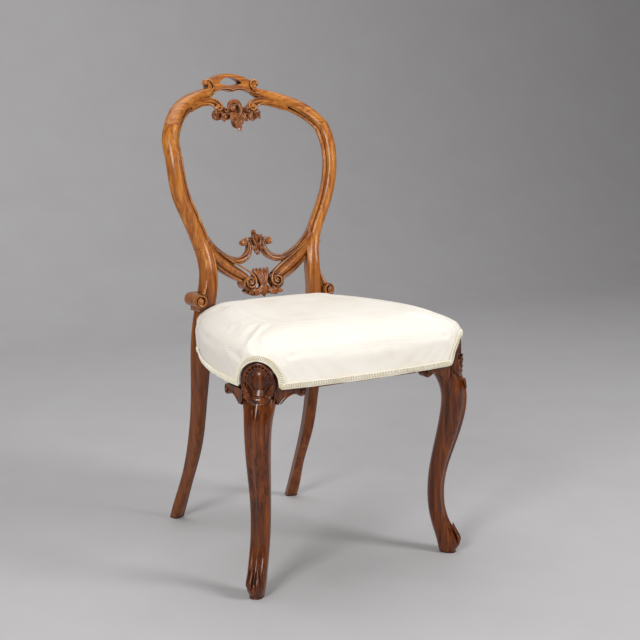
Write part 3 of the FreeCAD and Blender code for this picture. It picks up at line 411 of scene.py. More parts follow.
parts = [blob(back(-1, 585.5, 3), (5.0, 5.2, 7.2), (0.25, -0.2, 0)),
         blob(back(0, 571, 2), (9, 8, 12)), blob(back(0, 556, 3), (5.0, 6, 11))]
for angle, reach, wide in ((0.0, 12, 10), (0.75, 14, 9), (-0.75, 14, 9), (1.35, 15, 9), (-1.35, 15, 9)):
    root = back(5 * math.sin(angle), 572, 8 - 2 * abs(angle))
    parts.append(leaf(root, (math.sin(angle), 0.1, math.cos(angle)), FRONT, reach, wide, curl=0.7,
                      lobes=2, thick=2.6))
for sign in (1, -1):
    ribbon = [back(x * sign, z, p) for x, z, p in
              ((4, 582, 9), (9, 577, 11), (8.5, 569, 13), (4.5, 562, 13.5), (4.0, 555, 12),
              (7.5, 549.5, 10))]
    parts.append(bead(ribbon, [0.9, 1.8, 2.2, 2.0, 1.6, 0.8]))
    parts.append(leaf(back(3 * sign, 561, 9), (0.75 * sign, 0, -0.8), FRONT, 13, 8, curl=0.8, lobes=2,
                      thick=2.4))
parts.append(leaf(back(0, 566, 10), (0, 0.1, -1), FRONT, 23, 11, curl=0.5, cup=-0.3, lobes=3, thick=3.5,
                  vein=0.16))
parts.append(blob(back(0.5, 547, 9), (2.2, 2.4, 3.6)))
for side in (1, -1):
    parts.append(blob(back(7.5 * side, 553, 8), (2.0, 2.0, 2.6)))
fitted(carved("finial", parts, 0.55, 2), carving_polish, "red_walnut", "finial_carving")

# CREST RAIL
# One shaped block of walnut, rounded over and doweled down on the stiles. Its middle is
# pierced for the hand, and raised scrolls run from the cartouche's ends to its underside.

# the same amber polish as the stiles, with the figure running along the rail
crest_polish = polished_walnut("french_polished_walnut_crest", GOLD, (0.09, 1, 1), recess=0.012,
                               polish=0.27)
coat(node["crest_rail"], crest_polish)
parts = []
for sign in (1, -1):
    def on_crest(x, z, proud):
        return back(x * sign, z, proud)
    # scroll ridge that parts the cartouche from the arm
    ridge = [on_crest(x, z, p) for x, z, p in
             ((60, 874, 7), (59, 880, 9.5), (53, 881, 10.5), (46.5, 877.5, 11), (43, 871, 11.3),
              (44.5, 863, 11.5), (51.5, 857, 11.5), (60, 853, 11), (68, 850.5, 9.5))]
    parts.append(bead(ridge, [1.4, 2.0, 2.1, 2.0, 1.9, 1.8, 1.7, 1.4, 0.6]))
    parts.append(blob(on_crest(58, 875, 3), (4.8, 8.5, 5.0)))
    # bright arris along its underside, with a cusp in the middle
    arris = [on_crest(x, z, p) for x, z, p in
             ((57, 852, 10.5), (45, 855.5, 11), (30, 860.5, 11), (17, 863.2, 11), (6, 863.2, 11),
              (0, 859.5, 11))]
    parts.append(bead(arris, [0.8, 1.4, 1.5, 1.5, 1.5, 1.6]))
    # ribbon of the horn: a bead on both edges, rolled up at the end
    edge = [on_crest(x, z, p) for x, z, p in
            ((153, 795, 11), (147, 802, 12.2), (137, 812.5, 12.2), (124, 822.5, 11.5), (108, 832, 11),
             (90, 840.3, 10), (70, 844.5, 9), (53, 845, 8.6), (41.5, 841.5, 9), (34, 834.5, 9.3))]
    curl = spiral(lambda a, b: on_crest(40 + a, 828 + b, 9.8), math.pi * 0.86, 1.15, 8.6, 2.6, 24, 1)
    radii = [0.5, 1.0, 1.2, 1.3, 1.4, 1.6, 1.8, 2.0, 2.2, 2.3] + [2.3 - 0.8 * i / 24 for i in range(25)]
    parts.append(bead(edge + curl, radii))
    parts.append(blob(on_crest(40, 828, 9.5), (2.8, 3.4, 2.8)))
    inner = [on_crest(x, z, p) for x, z, p in
             ((134, 811, 8), (115, 823.5, 8), (93, 831.8, 8), (72, 835.8, 7.5), (58, 835.2, 7.5),
              (49.5, 830, 8), (47, 822.5, 8))]
    parts.append(bead(inner, [0.5, 1.2, 1.5, 1.8, 2.2, 2.4, 1.4]))
fitted(carved("crest_scrolls", parts, 0.75, 3), crest_polish, "gilt_walnut")

# CREST LEAF
# A drop of acanthus under the crest: a rolled leaf in the middle over a pointed one, and
# curling leaves to both sides. Carved in the round and glued between the crest's horns.

parts = [blob(back(0, 820, -1), (15, 8, 16)), blob(back(0, 805, 0), (11, 6.5, 16)),
         blob(back(22, 817, -1), (17, 7, 12)), blob(back(-22, 817, -1), (17, 7, 12)),
         blob(back(40, 815, -2), (12, 6.5, 10)), blob(back(-40, 815, -2), (12, 6.5, 10))]
# rolled leaf at the top, whose fold runs down to the right as in a turned-over ribbon
fold = [back(x, z, p) for x, z, p in
        ((-15, 824, 6), (-14.5, 833, 8), (-6, 839, 10), (4, 837, 12.5), (9, 828, 14.5), (9.5, 818, 14.5),
         (5, 808, 12))]
parts.append(bead(fold, [2.6, 4.4, 5.2, 5.2, 4.2, 3.2, 1.6]))
parts.append(blob(back(-6, 825, 8), (6.5, 5, 8.5), (0, 0.5, 0)))
parts.append(leaf(back(1, 816, 9), (0.02, 0.1, -1), FRONT, 37, 27, curl=0.75, cup=0.16, lobes=3,
                  thick=5, vein=0.1))
parts.append(leaf(back(-9, 817, 10), (-0.30, 0.1, -1), FRONT, 22, 15, curl=0.9, lobes=2, thick=4))
parts.append(leaf(back(12, 816, 10), (0.42, 0.1, -1), FRONT, 21, 15, curl=0.9, lobes=2, thick=4))
for sign in (1, -1):
    for x, z, p, direction, reach, wide, bend in (
            (16, 825, 6, (1.0, 0, -0.75), 27, 19, 0.9), (30, 827, 6, (1.0, 0, -0.45), 28, 19, 1.0),
            (44, 822, 4, (0.55, 0, -1.0), 20, 16, 0.9), (28, 816, 7, (0.5, 0, -1.0), 19, 16, 0.9)):
        parts.append(leaf(back(x * sign, z, p), (direction[0] * sign, 0, direction[2]), FRONT, reach, wide,
                          curl=bend, lobes=2, thick=4, sweep=0.12 * sign, vein=0.10))
    eye = spiral(lambda a, b: back((26 + a) * sign, 820 + b, 13), 0.6, 0.95, 5.0, 2.6, 16, 1)
    parts.append(bead(eye, 1.9))
fitted(carved("crest_leaf", parts, 0.7, 2), carving_polish, "red_walnut", "crest_leaf_carving")

# FRONT LEGS
# Cabriole legs of a redder walnut, fluted down the front, with the knee, shaft and scroll toe
# carved from one square length. The knee carries an oval shield with a hollow shell.

# stained a deep red-brown under old shellac, with long soft highlights on its ridges and near-black painted
# shade in its hollows
leg_polish = polished_walnut(
    "french_polished_walnut_front_legs",
    [(0.25, "#280d00"), (0.45, "#522200"), (0.65, "#763701"), (0.88, "#99550c")], (1, 1, 0.05),
    shade="#170802", recess=0.007, polish=0.22)


FOOT_X = 208.5
SHIELD_Z = 380
HALF_ROOT = math.sqrt(0.5)


def knee_lean(z):
    """How far the leg's middle leans in at a height, in millimetres."""
    return 9 * min(max((z - 60) / 310, 0), 1)


def on_knee(out, across, z, sign):
    """Point by its distance out along a front leg's diagonal and across it."""
    x = FOOT_X + HALF_ROOT * out + HALF_ROOT * (across - knee_lean(z))
    y = -HALF_ROOT * out + HALF_ROOT * (across - knee_lean(z)) - MIDDLE_Y
    return Vector((x * sign, y, z)) * MM


for side, sign in (("right", 1), ("left", -1)):
    coat(node["front_leg_" + side], leg_polish)
    outward = Vector((sign, -1, 0)).normalized()
    parts = []
    for half_width, half_height, out, size in ((26.8, 35.5, 15.2, 2.5), (21.0, 28.5, 14.0, 1.5)):
        ring = []
        for i in range(33):
            angle = math.pi * (-0.42 + 1.84 * i / 32)
            across, z = half_width * math.cos(angle), SHIELD_Z + half_height * math.sin(angle)
            ring.append(on_knee(out, across, z, sign))
        parts.append(bead(ring, [size * (0.6 + 0.4 * math.sin(math.pi * i / 32)) for i in range(33)]))
    # scallops round the top of the shield
    for i in range(9):
        angle = math.pi * (0.5 + (i - 4) * 0.085)
        spot = on_knee(15.0, 24.0 * math.cos(angle), SHIELD_Z + 32.2 * math.sin(angle), sign)
        parts.append(blob(spot, (2.0, 2.2, 2.0), segments=12))
    # faint ribs of the shell, laid on the hollow's floor and fanned out from the lip
    for fan in (-0.62, -0.31, 0.0, 0.31, 0.62):
        rib = []
        for i in range(8):
            reach = 8 + 5.6 * i
            across, z = reach * math.sin(fan), 354 + reach * math.cos(fan)
            bowl = max(0.04, 1 - (across / 24) ** 2 - ((z - 383) / 31) ** 2)
            rib.append(on_knee(17.0 - 9 * math.sqrt(bowl), across, z, sign))
        parts.append(bead(rib, [2.6, 2.5, 2.3, 2.1, 1.8, 1.4, 1.0, 0.6]))
    # leaves that fold up from the lip along both sides
    for across, z, lean, reach, wide in ((5, 351, 1.15, 20, 13), (13, 355, 0.72, 21, 12),
                                         (20, 363, 0.30, 18, 10)):
        for way in (1, -1):
            base = on_knee(15, across * way, z, sign)
            tip = on_knee(14.5, across * way + reach * math.sin(lean) * way, z + reach * math.cos(lean),
                          sign)
            parts.append(leaf(base, tip - base, outward, reach, wide, curl=0.25, cup=0.25, lobes=2,
                              thick=4, vein=0.12))
    # scalloped lip and the rolled collar close below it
    for i in range(7):
        spot = on_knee(16.5, (i - 3) * 5.0, 352 + 0.30 * abs(i - 3) ** 2, sign)
        parts.append(blob(spot, (2.9, 2.9, 4.4), segments=16))
    lip = [on_knee(out, across, z, sign) for out, across, z in
           ((12, -25, 364), (15.5, -19, 353.5), (18, -10, 347), (19, 0, 345), (18, 10, 347),
            (15.5, 19, 353.5), (12, 25, 364))]
    parts.append(bead(lip, [1.6, 2.8, 3.4, 3.6, 3.4, 2.8, 1.6]))
    for way in (1, -1):
        drop = [on_knee(out, across * way, z, sign) for out, across, z in
                ((26, 6.5, 339), (29, 5.5, 330), (30.6, 4.0, 320))]
        parts.append(bead(drop, [1.8, 1.9, 0.5]))
        flank = [on_knee(out, across * way, z, sign) for out, across, z in
                 ((6, 27.5, 372), (6, 26.5, 356), (9, 25.0, 342), (14, 22.5, 326), (18, 20.2, 306),
                  (20, 18.6, 284))]
        parts.append(bead(flank, [1.6, 2.2, 2.3, 1.9, 1.4, 0.6]))
    fitted(carved("knee_shield_" + side, parts, 0.65, 3), leg_polish, "red_walnut")
    # scroll toe: three gouged lobes above the pad
    parts = []
    for way in (1, -1):
        toe = [on_knee(out, across * way, z, sign) for out, across, z in
               ((9, 4.5, 56), (15, 5.2, 42), (20.5, 6.2, 31), (22.5, 6.8, 24), (20.5, 7.0, 18.5))]
        parts.append(bead(toe, [0.9, 1.9, 2.9, 3.7, 2.8]))
        outer = [on_knee(out, across * way, z, sign) for out, across, z in
                 ((4, 13, 52), (9, 14.0, 38), (12.5, 14.5, 28), (12.0, 14.2, 20))]
        parts.append(bead(outer, [0.8, 1.8, 2.8, 2.4]))
    middle = [on_knee(out, 0, z, sign) for out, z in ((12, 50), (18.5, 36), (21.5, 27))]
    parts.append(bead(middle, [0.6, 1.4, 1.0]))
    fitted(carved("toe_scroll_" + side, parts, 0.6, 3), leg_polish, "red_walnut")

# KNEE EARS
# Small brackets glued beside each knee under the rails: a lobe that sweeps into the leg,
# with a bead along its lower edge and a turned boss at its tip.

for side, sign in (("right", 1), ("left", -1)):
    for where in ("front", "side"):
        ear = node["knee_ear_%s_%s" % (where, side)]
        coat(ear, leg_polish)
        low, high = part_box(ear.name)
        if where == "front":
            def on_bracket(run, z, deep):
                return Vector(((high.x if sign < 0 else low.x) + sign * run * MM, low.y - deep * MM, z * MM))
        else:
            def on_bracket(run, z, deep):
                x = high.x + deep * MM if sign > 0 else low.x - deep * MM
                return Vector((x, high.y - run * MM, z * MM))
        edge = [on_bracket(run, z, 0.2) for run, z in
                ((3, 366), (2.5, 358), (7, 354), (13, 355), (19, 360), (30, 360), (42, 354), (52, 344))]
        parts = [bead(edge, [1.2, 1.7, 2.0, 1.8, 1.6, 1.6, 1.7, 1.2])]
        parts.append(blob(on_bracket(8.5, 361, 0.5), (3.6, 3.6, 3.6)))
        fitted(carved("bracket_bead_%s_%s" % (where, side), parts, 0.6, 3), leg_polish, "red_walnut")

# SEAT FRAME
# Beech rails doweled into the legs, with glued and screwed blocks in their corners. They are
# planed and left bare, as the cover hides them, and have darkened to a dry brown.

# planed beech with no finish, dry and matt
beech, shader = blank("bare_beech")
place = put(beech, "TexCoord").outputs["Object"]
# beech flecks about 1 mm wide and 8 mm long, in rings about 6 mm apart
rings = put(beech, "TexNoise", {"Vector": place, "Scale": 160.0, "Detail": 5.0, "Distortion": 1.2})
colour = put(beech, "ValToRGB", {"Fac": rings.outputs["Fac"]},
             [(0.3, "#a87a4b"), (0.55, "#bf945f"), (0.75, "#cfa874")]).outputs["Color"]
beech.node_tree.links.new(colour, shader.inputs["Base Color"])
shader.inputs["Roughness"].default_value = 0.72
relief = put(beech, "Bump", {"Height": rings.outputs["Fac"], "Strength": 0.25, "Distance": 0.0005})
beech.node_tree.links.new(relief.outputs[0], shader.inputs["Normal"])
for name in sorted(node):
    if "seat_rail" in name or "corner_block_r" in name or "corner_block_l" in name:
        coat(node[name], beech)

# DOWELS AND SCREWS
# Birch dowels join the frame, and steel screws pull the corner blocks in. The screws have
# gone dull and slightly rusty under the seat.

# turned birch rod, pale and close-grained
birch, shader = blank("birch_dowel_rod")
place = put(birch, "TexCoord").outputs["Object"]
rays = put(birch, "TexNoise", {"Vector": place, "Scale": 300.0, "Detail": 3.0})
colour = put(birch, "ValToRGB", {"Fac": rays.outputs["Fac"]},
             [(0.35, "#c9a878"), (0.7, "#dcc197")]).outputs["Color"]
birch.node_tree.links.new(colour, shader.inputs["Base Color"])
shader.inputs["Roughness"].default_value = 0.65
# drawn steel wire and forged screws, gone dull, with rust in patches about 4 mm wide
steel, shader = blank("dull_steel")
place = put(steel, "TexCoord").outputs["Object"]
rust = put(steel, "TexNoise", {"Vector": place, "Scale": 260.0, "Detail": 6.0})
colour = put(steel, "ValToRGB", {"Fac": rust.outputs["Fac"]},
             [(0.45, "#6f6a64"), (0.6, "#5d4a3c"), (0.75, "#6b3a20")]).outputs["Color"]
steel.node_tree.links.new(colour, shader.inputs["Base Color"])
shader.inputs["Metallic"].default_value = 0.85
shader.inputs["Roughness"].default_value = 0.5
for name in sorted(node):
    if name.endswith("dowels"):
        coat(node[name], birch)
coat(node["corner_block_screws"], steel)
coat(node["webbing_tacks"], steel)

# WEBBING, SPRINGS AND HESSIAN
# Jute webbing is strained over the rails' undersides and tacked. Steel wire springs stand on it,
# and a tight hessian goes over them and is tacked to the rails' tops.

# coarse jute, plain woven: a hairy brown cloth with no gloss
jute, shader = blank("woven_jute_webbing")
place = put(jute, "TexCoord").outputs["Object"]
# threads are 1.5 mm apart each way, drawn 3 mm apart so that they show
threads = {"Vector": place, "Scale": 53.0, "Distortion": 0.6, "Detail": 2.0}
warp = put(jute, "TexWave", threads, bands_direction="X")
weft = put(jute, "TexWave", threads, bands_direction="Y")
weave = put(jute, "Math", {0: warp.outputs["Fac"], 1: weft.outputs["Fac"]}, operation="MULTIPLY").outputs[0]
colour = put(jute, "ValToRGB", {"Fac": weave},
             [(0.05, "#5d4527"), (0.4, "#8f7248"), (0.9, "#b0925f")]).outputs["Color"]
jute.node_tree.links.new(colour, shader.inputs["Base Color"])
shader.inputs["Roughness"].default_value = 0.9
relief = put(jute, "Bump", {"Height": weave, "Strength": 0.7, "Distance": 0.001})
jute.node_tree.links.new(relief.outputs[0], shader.inputs["Normal"])
for name in ("webbing_lengthwise", "webbing_crosswise", "hessian"):
    coat(node[name], jute)
for number in range(1, 6):
    coat(node["seat_spring_%d" % number], steel)

# STUFFED SEAT
# Curled hair is laid over the hessian, stitched to a roll and pulled down under a cover of
# unbleached calico. The cover is tacked low on the rails and cut round each knee in an arch.

OUTLINE = [((172, -38), (0.3, -0.95)), ((204.5, -23), (0.7071, -0.7071)), ((227, 4), (0.95, -0.3)),
           ((209, 160), (0.97, 0.2)), ((154, 306), (0.95, 0.3)), ((148, 329), (0.8, 0.6)),
           ((130, 345), (0.2, 0.98))]


SEAT_MIDDLE = 151.5


def arc_points(a, b, c, count):
    """Points of the arc through three flat points, without its last."""
    turn = (b - a).cross(c - a)
    if abs(turn.z) < 1e-6:
        return [a.lerp(c, i / count) for i in range(count)]
    side_c, side_b = (b - a).length_squared, (c - a).length_squared
    toward = (c - a).cross(turn) * -side_c + (b - a).cross(turn) * side_b
    centre = a + toward * -1 / (2 * turn.length_squared)
    begin, radius = a - centre, (a - centre).length
    sweep = begin.angle(b - centre) + (b - centre).angle(c - centre)
    way = 1 if turn.z > 0 else -1
    return [centre + Matrix.Rotation(way * sweep * i / count, 3, "Z") @ begin for i in range(count)]


def seat_ring(z, share, grow, count=28):
    """One level outline of the seat, in millimetres, as the upholsterer's template gives it."""
    right = [(x, y, nx, ny) for (x, y), (nx, ny) in OUTLINE]
    left = [(-x, y, -nx, ny) for x, y, nx, ny in right[::-1]]
    around = right + [(0, 351, 0, 1)] + left + [(0, -48, 0, -1)]
    spots = [Vector((x * share + nx * grow, SEAT_MIDDLE + (y - SEAT_MIDDLE) * share + ny * grow, 0))
             for x, y, nx, ny in around]
    points = []
    for i in range(0, len(spots), 2):
        points += arc_points(spots[i], spots[i + 1], spots[(i + 2) % len(spots)], count)
    return [Vector((p.x, p.y - MIDDLE_Y, z)) * MM for p in points]


LEVELS = [(370 + i * 44 / 8, 0.995 + 0.017 * i / 8) for i in range(9)] + [(420, 1.0133), (425.5, 1.0145)]
for i in range(24):
    turn = math.pi / 2 * i / 24
    LEVELS.append((431 + 38 * math.sin(turn), 1.015 * math.sqrt(math.cos(turn))))
rings = [seat_ring(z, share, 2.0) for z, share in LEVELS]
corners = [p for ring in rings for p in ring]
around = len(rings[0])
faces = []
for level in range(len(rings) - 1):
    for i in range(around):
        j = (i + 1) % around
        low, high = level * around, (level + 1) * around
        faces.append((low + i, low + j, high + j, high + i))
faces.append(tuple(range(around))[::-1])
faces.append(tuple((len(rings) - 1) * around + i for i in range(around)))
mesh = bpy.data.meshes.new("seat")
mesh.from_pydata(corners, [], faces)
seat = bpy.data.objects.new("calico_seat", mesh)
bpy.context.scene.collection.objects.link(seat)
alone(seat)
VOXEL = 5 * MM
MOST_SWELL = 5 * MM
COVER_EDGE = 371.2 * MM
even = seat.modifiers.new("even", "REMESH")
even.mode = "VOXEL"
even.voxel_size = VOXEL
bpy.ops.object.modifier_apply(modifier="even")
tight = [vertex.co.copy() for vertex in seat.data.vertices]
held = seat.vertex_groups.new(name="held")
for vertex in seat.data.vertices:
    share = min(max((0.425 - vertex.co.z) / 0.03, 0), 1)
    held.add([vertex.index], share, "REPLACE")
cloth = seat.modifiers.new("cloth", "CLOTH")
cloth.settings.quality = 6
cloth.settings.mass = 0.25
cloth.settings.tension_stiffness = 25
cloth.settings.compression_stiffness = 25
cloth.settings.shear_stiffness = 12
cloth.settings.bending_stiffness = 1.5
cloth.settings.use_pressure = True
cloth.settings.uniform_pressure_force = 4
cloth.settings.vertex_group_mass = "held"
cloth.settings.effector_weights.gravity = 0
cloth.point_cache.frame_start = 1
cloth.point_cache.frame_end = 20
for moment in range(1, 21):
    bpy.context.scene.frame_set(moment)
bpy.ops.object.modifier_apply(modifier="cloth")
bpy.context.scene.frame_set(1)
for vertex, start in zip(seat.data.vertices, tight):
    moved = vertex.co - start
    if moved.length > MOST_SWELL:
        vertex.co = start + moved.normalized() * MOST_SWELL
finer = seat.modifiers.new("finer", "SUBSURF")
finer.levels = finer.render_levels = 1
bpy.ops.object.modifier_apply(modifier="finer")


def knee_arch(across, grow=0.0):
    """Height of the cover's arch over a knee, at a distance across the leg."""
    half, top = 33 + grow, 420 + grow
    if abs(across) >= half:
        return 0
    return SHIELD_Z + (top - SHIELD_Z) * math.sqrt(1 - (across / half) ** 2)


def knee_place(point, sign):
    """How far out and across a front leg a point stands, in millimetres."""
    x, y = point.x / MM * sign - FOOT_X, point.y / MM + MIDDLE_Y
    return (x - y) * HALF_ROOT, (x + y) * HALF_ROOT + knee_lean(point.z / MM)


# creases that the arch pulls into the calico, 5 to 8 mm wide and under 1 mm deep
for vertex in seat.data.vertices:
    for sign in (1, -1):
        out, across = knee_place(vertex.co, sign)
        z = vertex.co.z / MM
        if out < 5 or z < 372:
            continue
        reach = math.hypot(across, (z - SHIELD_Z) * 0.85) - 36
        if 0 < reach < 46:
            angle = math.atan2(z - SHIELD_Z, across)
            fade = math.sin(math.pi * min(1, (reach + 6) / 52)) ** 1.5
            pleat = math.sin(angle * 11 + sign * 0.8) + 0.6 * math.sin(angle * 19 + 1.3)
            vertex.co += vertex.normal * (0.42 * pleat * fade * MM)
whole_cover = BVHTree.FromPolygons([vertex.co.copy() for vertex in seat.data.vertices],
                                   [tuple(face.vertices) for face in seat.data.polygons])
alone(seat)
bpy.ops.object.mode_set(mode="EDIT")
bpy.ops.mesh.select_all(action="SELECT")
bpy.ops.mesh.bisect(plane_co=(0, 0, COVER_EDGE), plane_no=(0, 0, 1), clear_inner=True)
bpy.ops.mesh.select_all(action="DESELECT")
bpy.ops.object.mode_set(mode="OBJECT")
for face in seat.data.polygons:
    middle = face.center
    for sign in (1, -1):
        out, across = knee_place(middle, sign)
        if out > -30 and middle.z / MM < knee_arch(across, 2.0):
            face.select = True
bpy.ops.object.mode_set(mode="EDIT")
bpy.ops.mesh.delete(type="FACE")
bpy.ops.object.mode_set(mode="OBJECT")
skin = seat.modifiers.new("skin", "SOLIDIFY")
skin.thickness = 1.4 * MM
skin.offset = -1
bpy.ops.object.modifier_apply(modifier="skin")
bpy.ops.object.shade_smooth()

# unbleached cotton: creamy white, matt, with a little fluff that lightens it at the edges
calico, shader = blank("unbleached_calico")
place = put(calico, "TexCoord").outputs["Object"]
# plain weave: threads 0.5 mm apart, drawn 1.2 mm apart so that they show; slubs 20 mm long
threads = {"Vector": place, "Scale": 130.0, "Distortion": 1.0, "Detail": 2.0, "Detail Scale": 2.0}
warp, weft, fall = [put(calico, "TexWave", threads, bands_direction=way).outputs["Fac"] for way in "XYZ"]
weave = put(calico, "Math", {0: warp, 1: weft}, operation="ADD").outputs[0]
weave = put(calico, "Math", {0: weave, 1: fall}, operation="ADD").outputs[0]
soil = put(calico, "TexNoise", {"Vector": place, "Scale": 9.0, "Detail": 5.0, "Roughness": 0.6})
tone = put(calico, "Math", {0: weave, 1: 0.10}, operation="MULTIPLY").outputs[0]
tone = put(calico, "Math", {0: soil.outputs["Fac"], 1: tone}, operation="ADD").outputs[0]
colour = put(calico, "ValToRGB", {"Fac": tone},
             [(0.35, "#e6dccb"), (0.6, "#f2ebdf"), (0.85, "#f7f2e8")]).outputs["Color"]
calico.node_tree.links.new(colour, shader.inputs["Base Color"])
shader.inputs["Roughness"].default_value = 0.92
shader.inputs["Sheen Weight"].default_value = 0.12
shader.inputs["Sheen Roughness"].default_value = 0.5
relief = put(calico, "Bump", {"Height": weave, "Strength": 0.22, "Distance": 0.0004})
calico.node_tree.links.new(relief.outputs[0], shader.inputs["Normal"])
fitted(seat, calico, "cream_calico", "seat_cover", "hair_stuffing")

# GIMP
# Scroll gimp covers the tacks: gimp cord looped on itself over a narrow woven tape, about
# 12 mm wide. It is glued along the lower edge and round each knee, and once across the back.

# cream cotton cord, softly shining, with painted shade in brown where its loops cross
gimp, shader = blank("cream_scroll_gimp")
place = put(gimp, "TexCoord").outputs["Object"]
# twist of the cord about 0.8 mm, drawn 1.5 mm; old glue has yellowed it in patches
twist = put(gimp, "TexNoise", {"Vector": place, "Scale": 900.0, "Detail": 2.0})
patch = put(gimp, "TexNoise", {"Vector": place, "Scale": 45.0, "Detail": 3.0})
tone = put(gimp, "Math", {0: twist.outputs["Fac"], 1: patch.outputs["Fac"]}, operation="ADD").outputs[0]
tone = put(gimp, "Math", {0: tone, 1: 0.5}, operation="MULTIPLY").outputs[0]
colour = put(gimp, "ValToRGB", {"Fac": tone},
             [(0.35, "#efe4c4"), (0.5, "#faf3df"), (0.68, "#fffcf0")]).outputs["Color"]
# painted shade: brown where the loops crowd together, found by ambient occlusion
painted_shade = put(gimp, "AmbientOcclusion", {"Distance": 0.0015}, samples=8).outputs["AO"]
painted_shade = put(gimp, "MapRange", {"Value": painted_shade, "From Min": 0.35, "From Max": 0.7}).outputs[0]
colour = put(gimp, "Mix", {0: painted_shade, 6: linear("#a98f5c"), 7: colour}, data_type="RGBA").outputs[2]
gimp.node_tree.links.new(colour, shader.inputs["Base Color"])
shader.inputs["Roughness"].default_value = 0.8
shader.inputs["Sheen Weight"].default_value = 0.2


def low_edge(points):
    """Points of the gimp's middle line on the cover, with the cover's normal at each."""
    found = [whole_cover.find_nearest(point) for point in points]
    spots = [spot for spot, normal, index, distance in found]
    normals = [normal for spot, normal, index, distance in found]
    for reach in range(6):
        rows = zip(spots[:1] + spots, spots, spots[1:] + spots[-1:])
        spots = [a * 0.25 + b * 0.5 + c * 0.25 for a, b, c in rows]
        rows = zip(normals[:1] + normals, normals, normals[1:] + normals[-1:])
        normals = [a + b + c for a, b, c in rows]
        normals = [normal.normalized() for normal in normals]
    return list(zip(spots, normals))


def resampled(points, pitch):
    """The same line in equal steps."""
    lengths = [0.0]
    for a, b in zip(points, points[1:]):
        lengths.append(lengths[-1] + (b - a).length)
    count = max(2, int(round(lengths[-1] / pitch)))
    line, k = [], 0
    for i in range(count + 1):
        along = lengths[-1] * i / count
        while k < len(lengths) - 2 and lengths[k + 1] < along:
            k += 1
        share = (along - lengths[k]) / max(lengths[k + 1] - lengths[k], 1e-9)
        line.append(points[k].lerp(points[k + 1], share))
    return line


BACK_CORNER_Y = 318
BACK_EDGE_Y = 330
BACK_STRIP_HALF = 112
whole = seat_ring(377.0, 0.9985, 3.8, 40)
front_ring = []
for point in whole:
    near = False
    for sign in (1, -1):
        out, across = knee_place(point, sign)
        if out > -30 and abs(across) < 40.5:
            near = True
    behind = point.y > (BACK_CORNER_Y - MIDDLE_Y) * MM
    front_ring.append((point, near, behind))


def arch_line(sign):
    """Middle line of the gimp round one knee, from the front rail's side to the side rail's."""
    turns = [math.pi * (1 - i / 60) for i in range(61)]
    places = [(39 * math.cos(turn), SHIELD_Z + 46 * math.sin(turn)) for turn in turns]
    inward = Vector((-sign, 1, 0)).normalized()
    line = []
    for across, z in [(-39, 377)] + places + [(39, 377)]:
        spot, normal, index, distance = whole_cover.ray_cast(on_knee(80, across, z, sign), inward)
        line.append(spot)
    return line


order = len(whole)
runs = []
start = next(i for i in range(order) if front_ring[i][2] and not front_ring[(i + 1) % order][2])
current, knees_done = [], set()
for step in range(1, order + 1):
    i = (start + step) % order
    point, near, behind = front_ring[i]
    if behind:
        break
    if near:
        sign = 1 if point.x > 0 else -1
        if sign not in knees_done:
            knees_done.add(sign)
            arch = arch_line(sign)
            if (arch[0] - current[-1]).length > (arch[-1] - current[-1]).length:
                arch = arch[::-1]
            current += arch
    else:
        current.append(point)
runs.append(current)
runs.append([point for point in whole
             if point.y > (BACK_EDGE_Y - MIDDLE_Y) * MM and abs(point.x) < BACK_STRIP_HALF * MM])


def gimp_strip(name, run, loop=6.6, half=5.0):
    """Two looped cords and a tape, laid along a line on the cover."""
    line = low_edge(resampled(run, 1.0 * MM))
    spots = [spot for spot, normal in line]
    frames = []
    for i, (spot, normal) in enumerate(line):
        a, b = spots[max(i - 3, 0)], spots[min(i + 3, len(spots) - 1)]
        along = (b - a).normalized()
        across = normal.cross(along).normalized()
        frames.append((spot, along, across, normal))

    def at(length, aside, lift):
        place = min(max(length, 0), len(frames) - 1.001)
        i = int(place)
        share = place - i
        (p, u, v, w), (q, s, t, r) = frames[i], frames[i + 1]
        base = p.lerp(q, share)
        return base + (v.lerp(t, share).normalized() * aside + w.lerp(r, share).normalized() * lift) * MM

    parts = []
    total = len(frames) - 1
    tape = bpy.data.meshes.new("tape")
    profile = [(-4.2, -0.4), (-4.2, 0.5), (-1.2, 0.8), (1.2, 0.8), (4.2, 0.5), (4.2, -0.4)]
    corners, faces = [], []
    for i in range(0, total + 1, 2):
        corners += [at(i, a, b) for a, b in profile]
    count = len(corners) // 6
    for i in range(count - 1):
        for j in range(6):
            k = (j + 1) % 6
            faces.append((i * 6 + j, i * 6 + k, (i + 1) * 6 + k, (i + 1) * 6 + j))
    faces.append(tuple(range(6))[::-1])
    faces.append(tuple((count - 1) * 6 + j for j in range(6)))
    tape.from_pydata(corners, [], faces)
    strip = bpy.data.objects.new("tape", tape)
    bpy.context.scene.collection.objects.link(strip)
    parts.append(strip)
    loops = int(total / loop)
    for phase, thick in ((0.0, 1.25), (0.5, 1.25)):
        path = []
        for i in range(loops * 10 + 1):
            turn = 2 * math.pi * (i / 10 + phase)
            length = i / 10 * total / loops
            path.append(at(length + 1.3 * math.sin(2 * turn) - 0.9 * math.sin(turn), half * math.cos(turn),
                           1.5 + 0.9 * math.sin(turn)))
        cord = bpy.data.curves.new("loops", "CURVE")
        cord.dimensions = "3D"
        cord.bevel_depth = thick * MM
        cord.bevel_resolution = 1
        spline = cord.splines.new("POLY")
        spline.points.add(len(path) - 1)
        for i, point in enumerate(path):
            spline.points[i].co = (*point, 1)
        looped = bpy.data.objects.new("loops", cord)
        bpy.context.scene.collection.objects.link(looped)
        alone(looped)
        bpy.ops.object.convert(target="MESH")
        parts.append(bpy.context.object)
    strip = joined(name, parts)
    bpy.ops.object.shade_smooth()
    return strip, 6 * (count - 1)
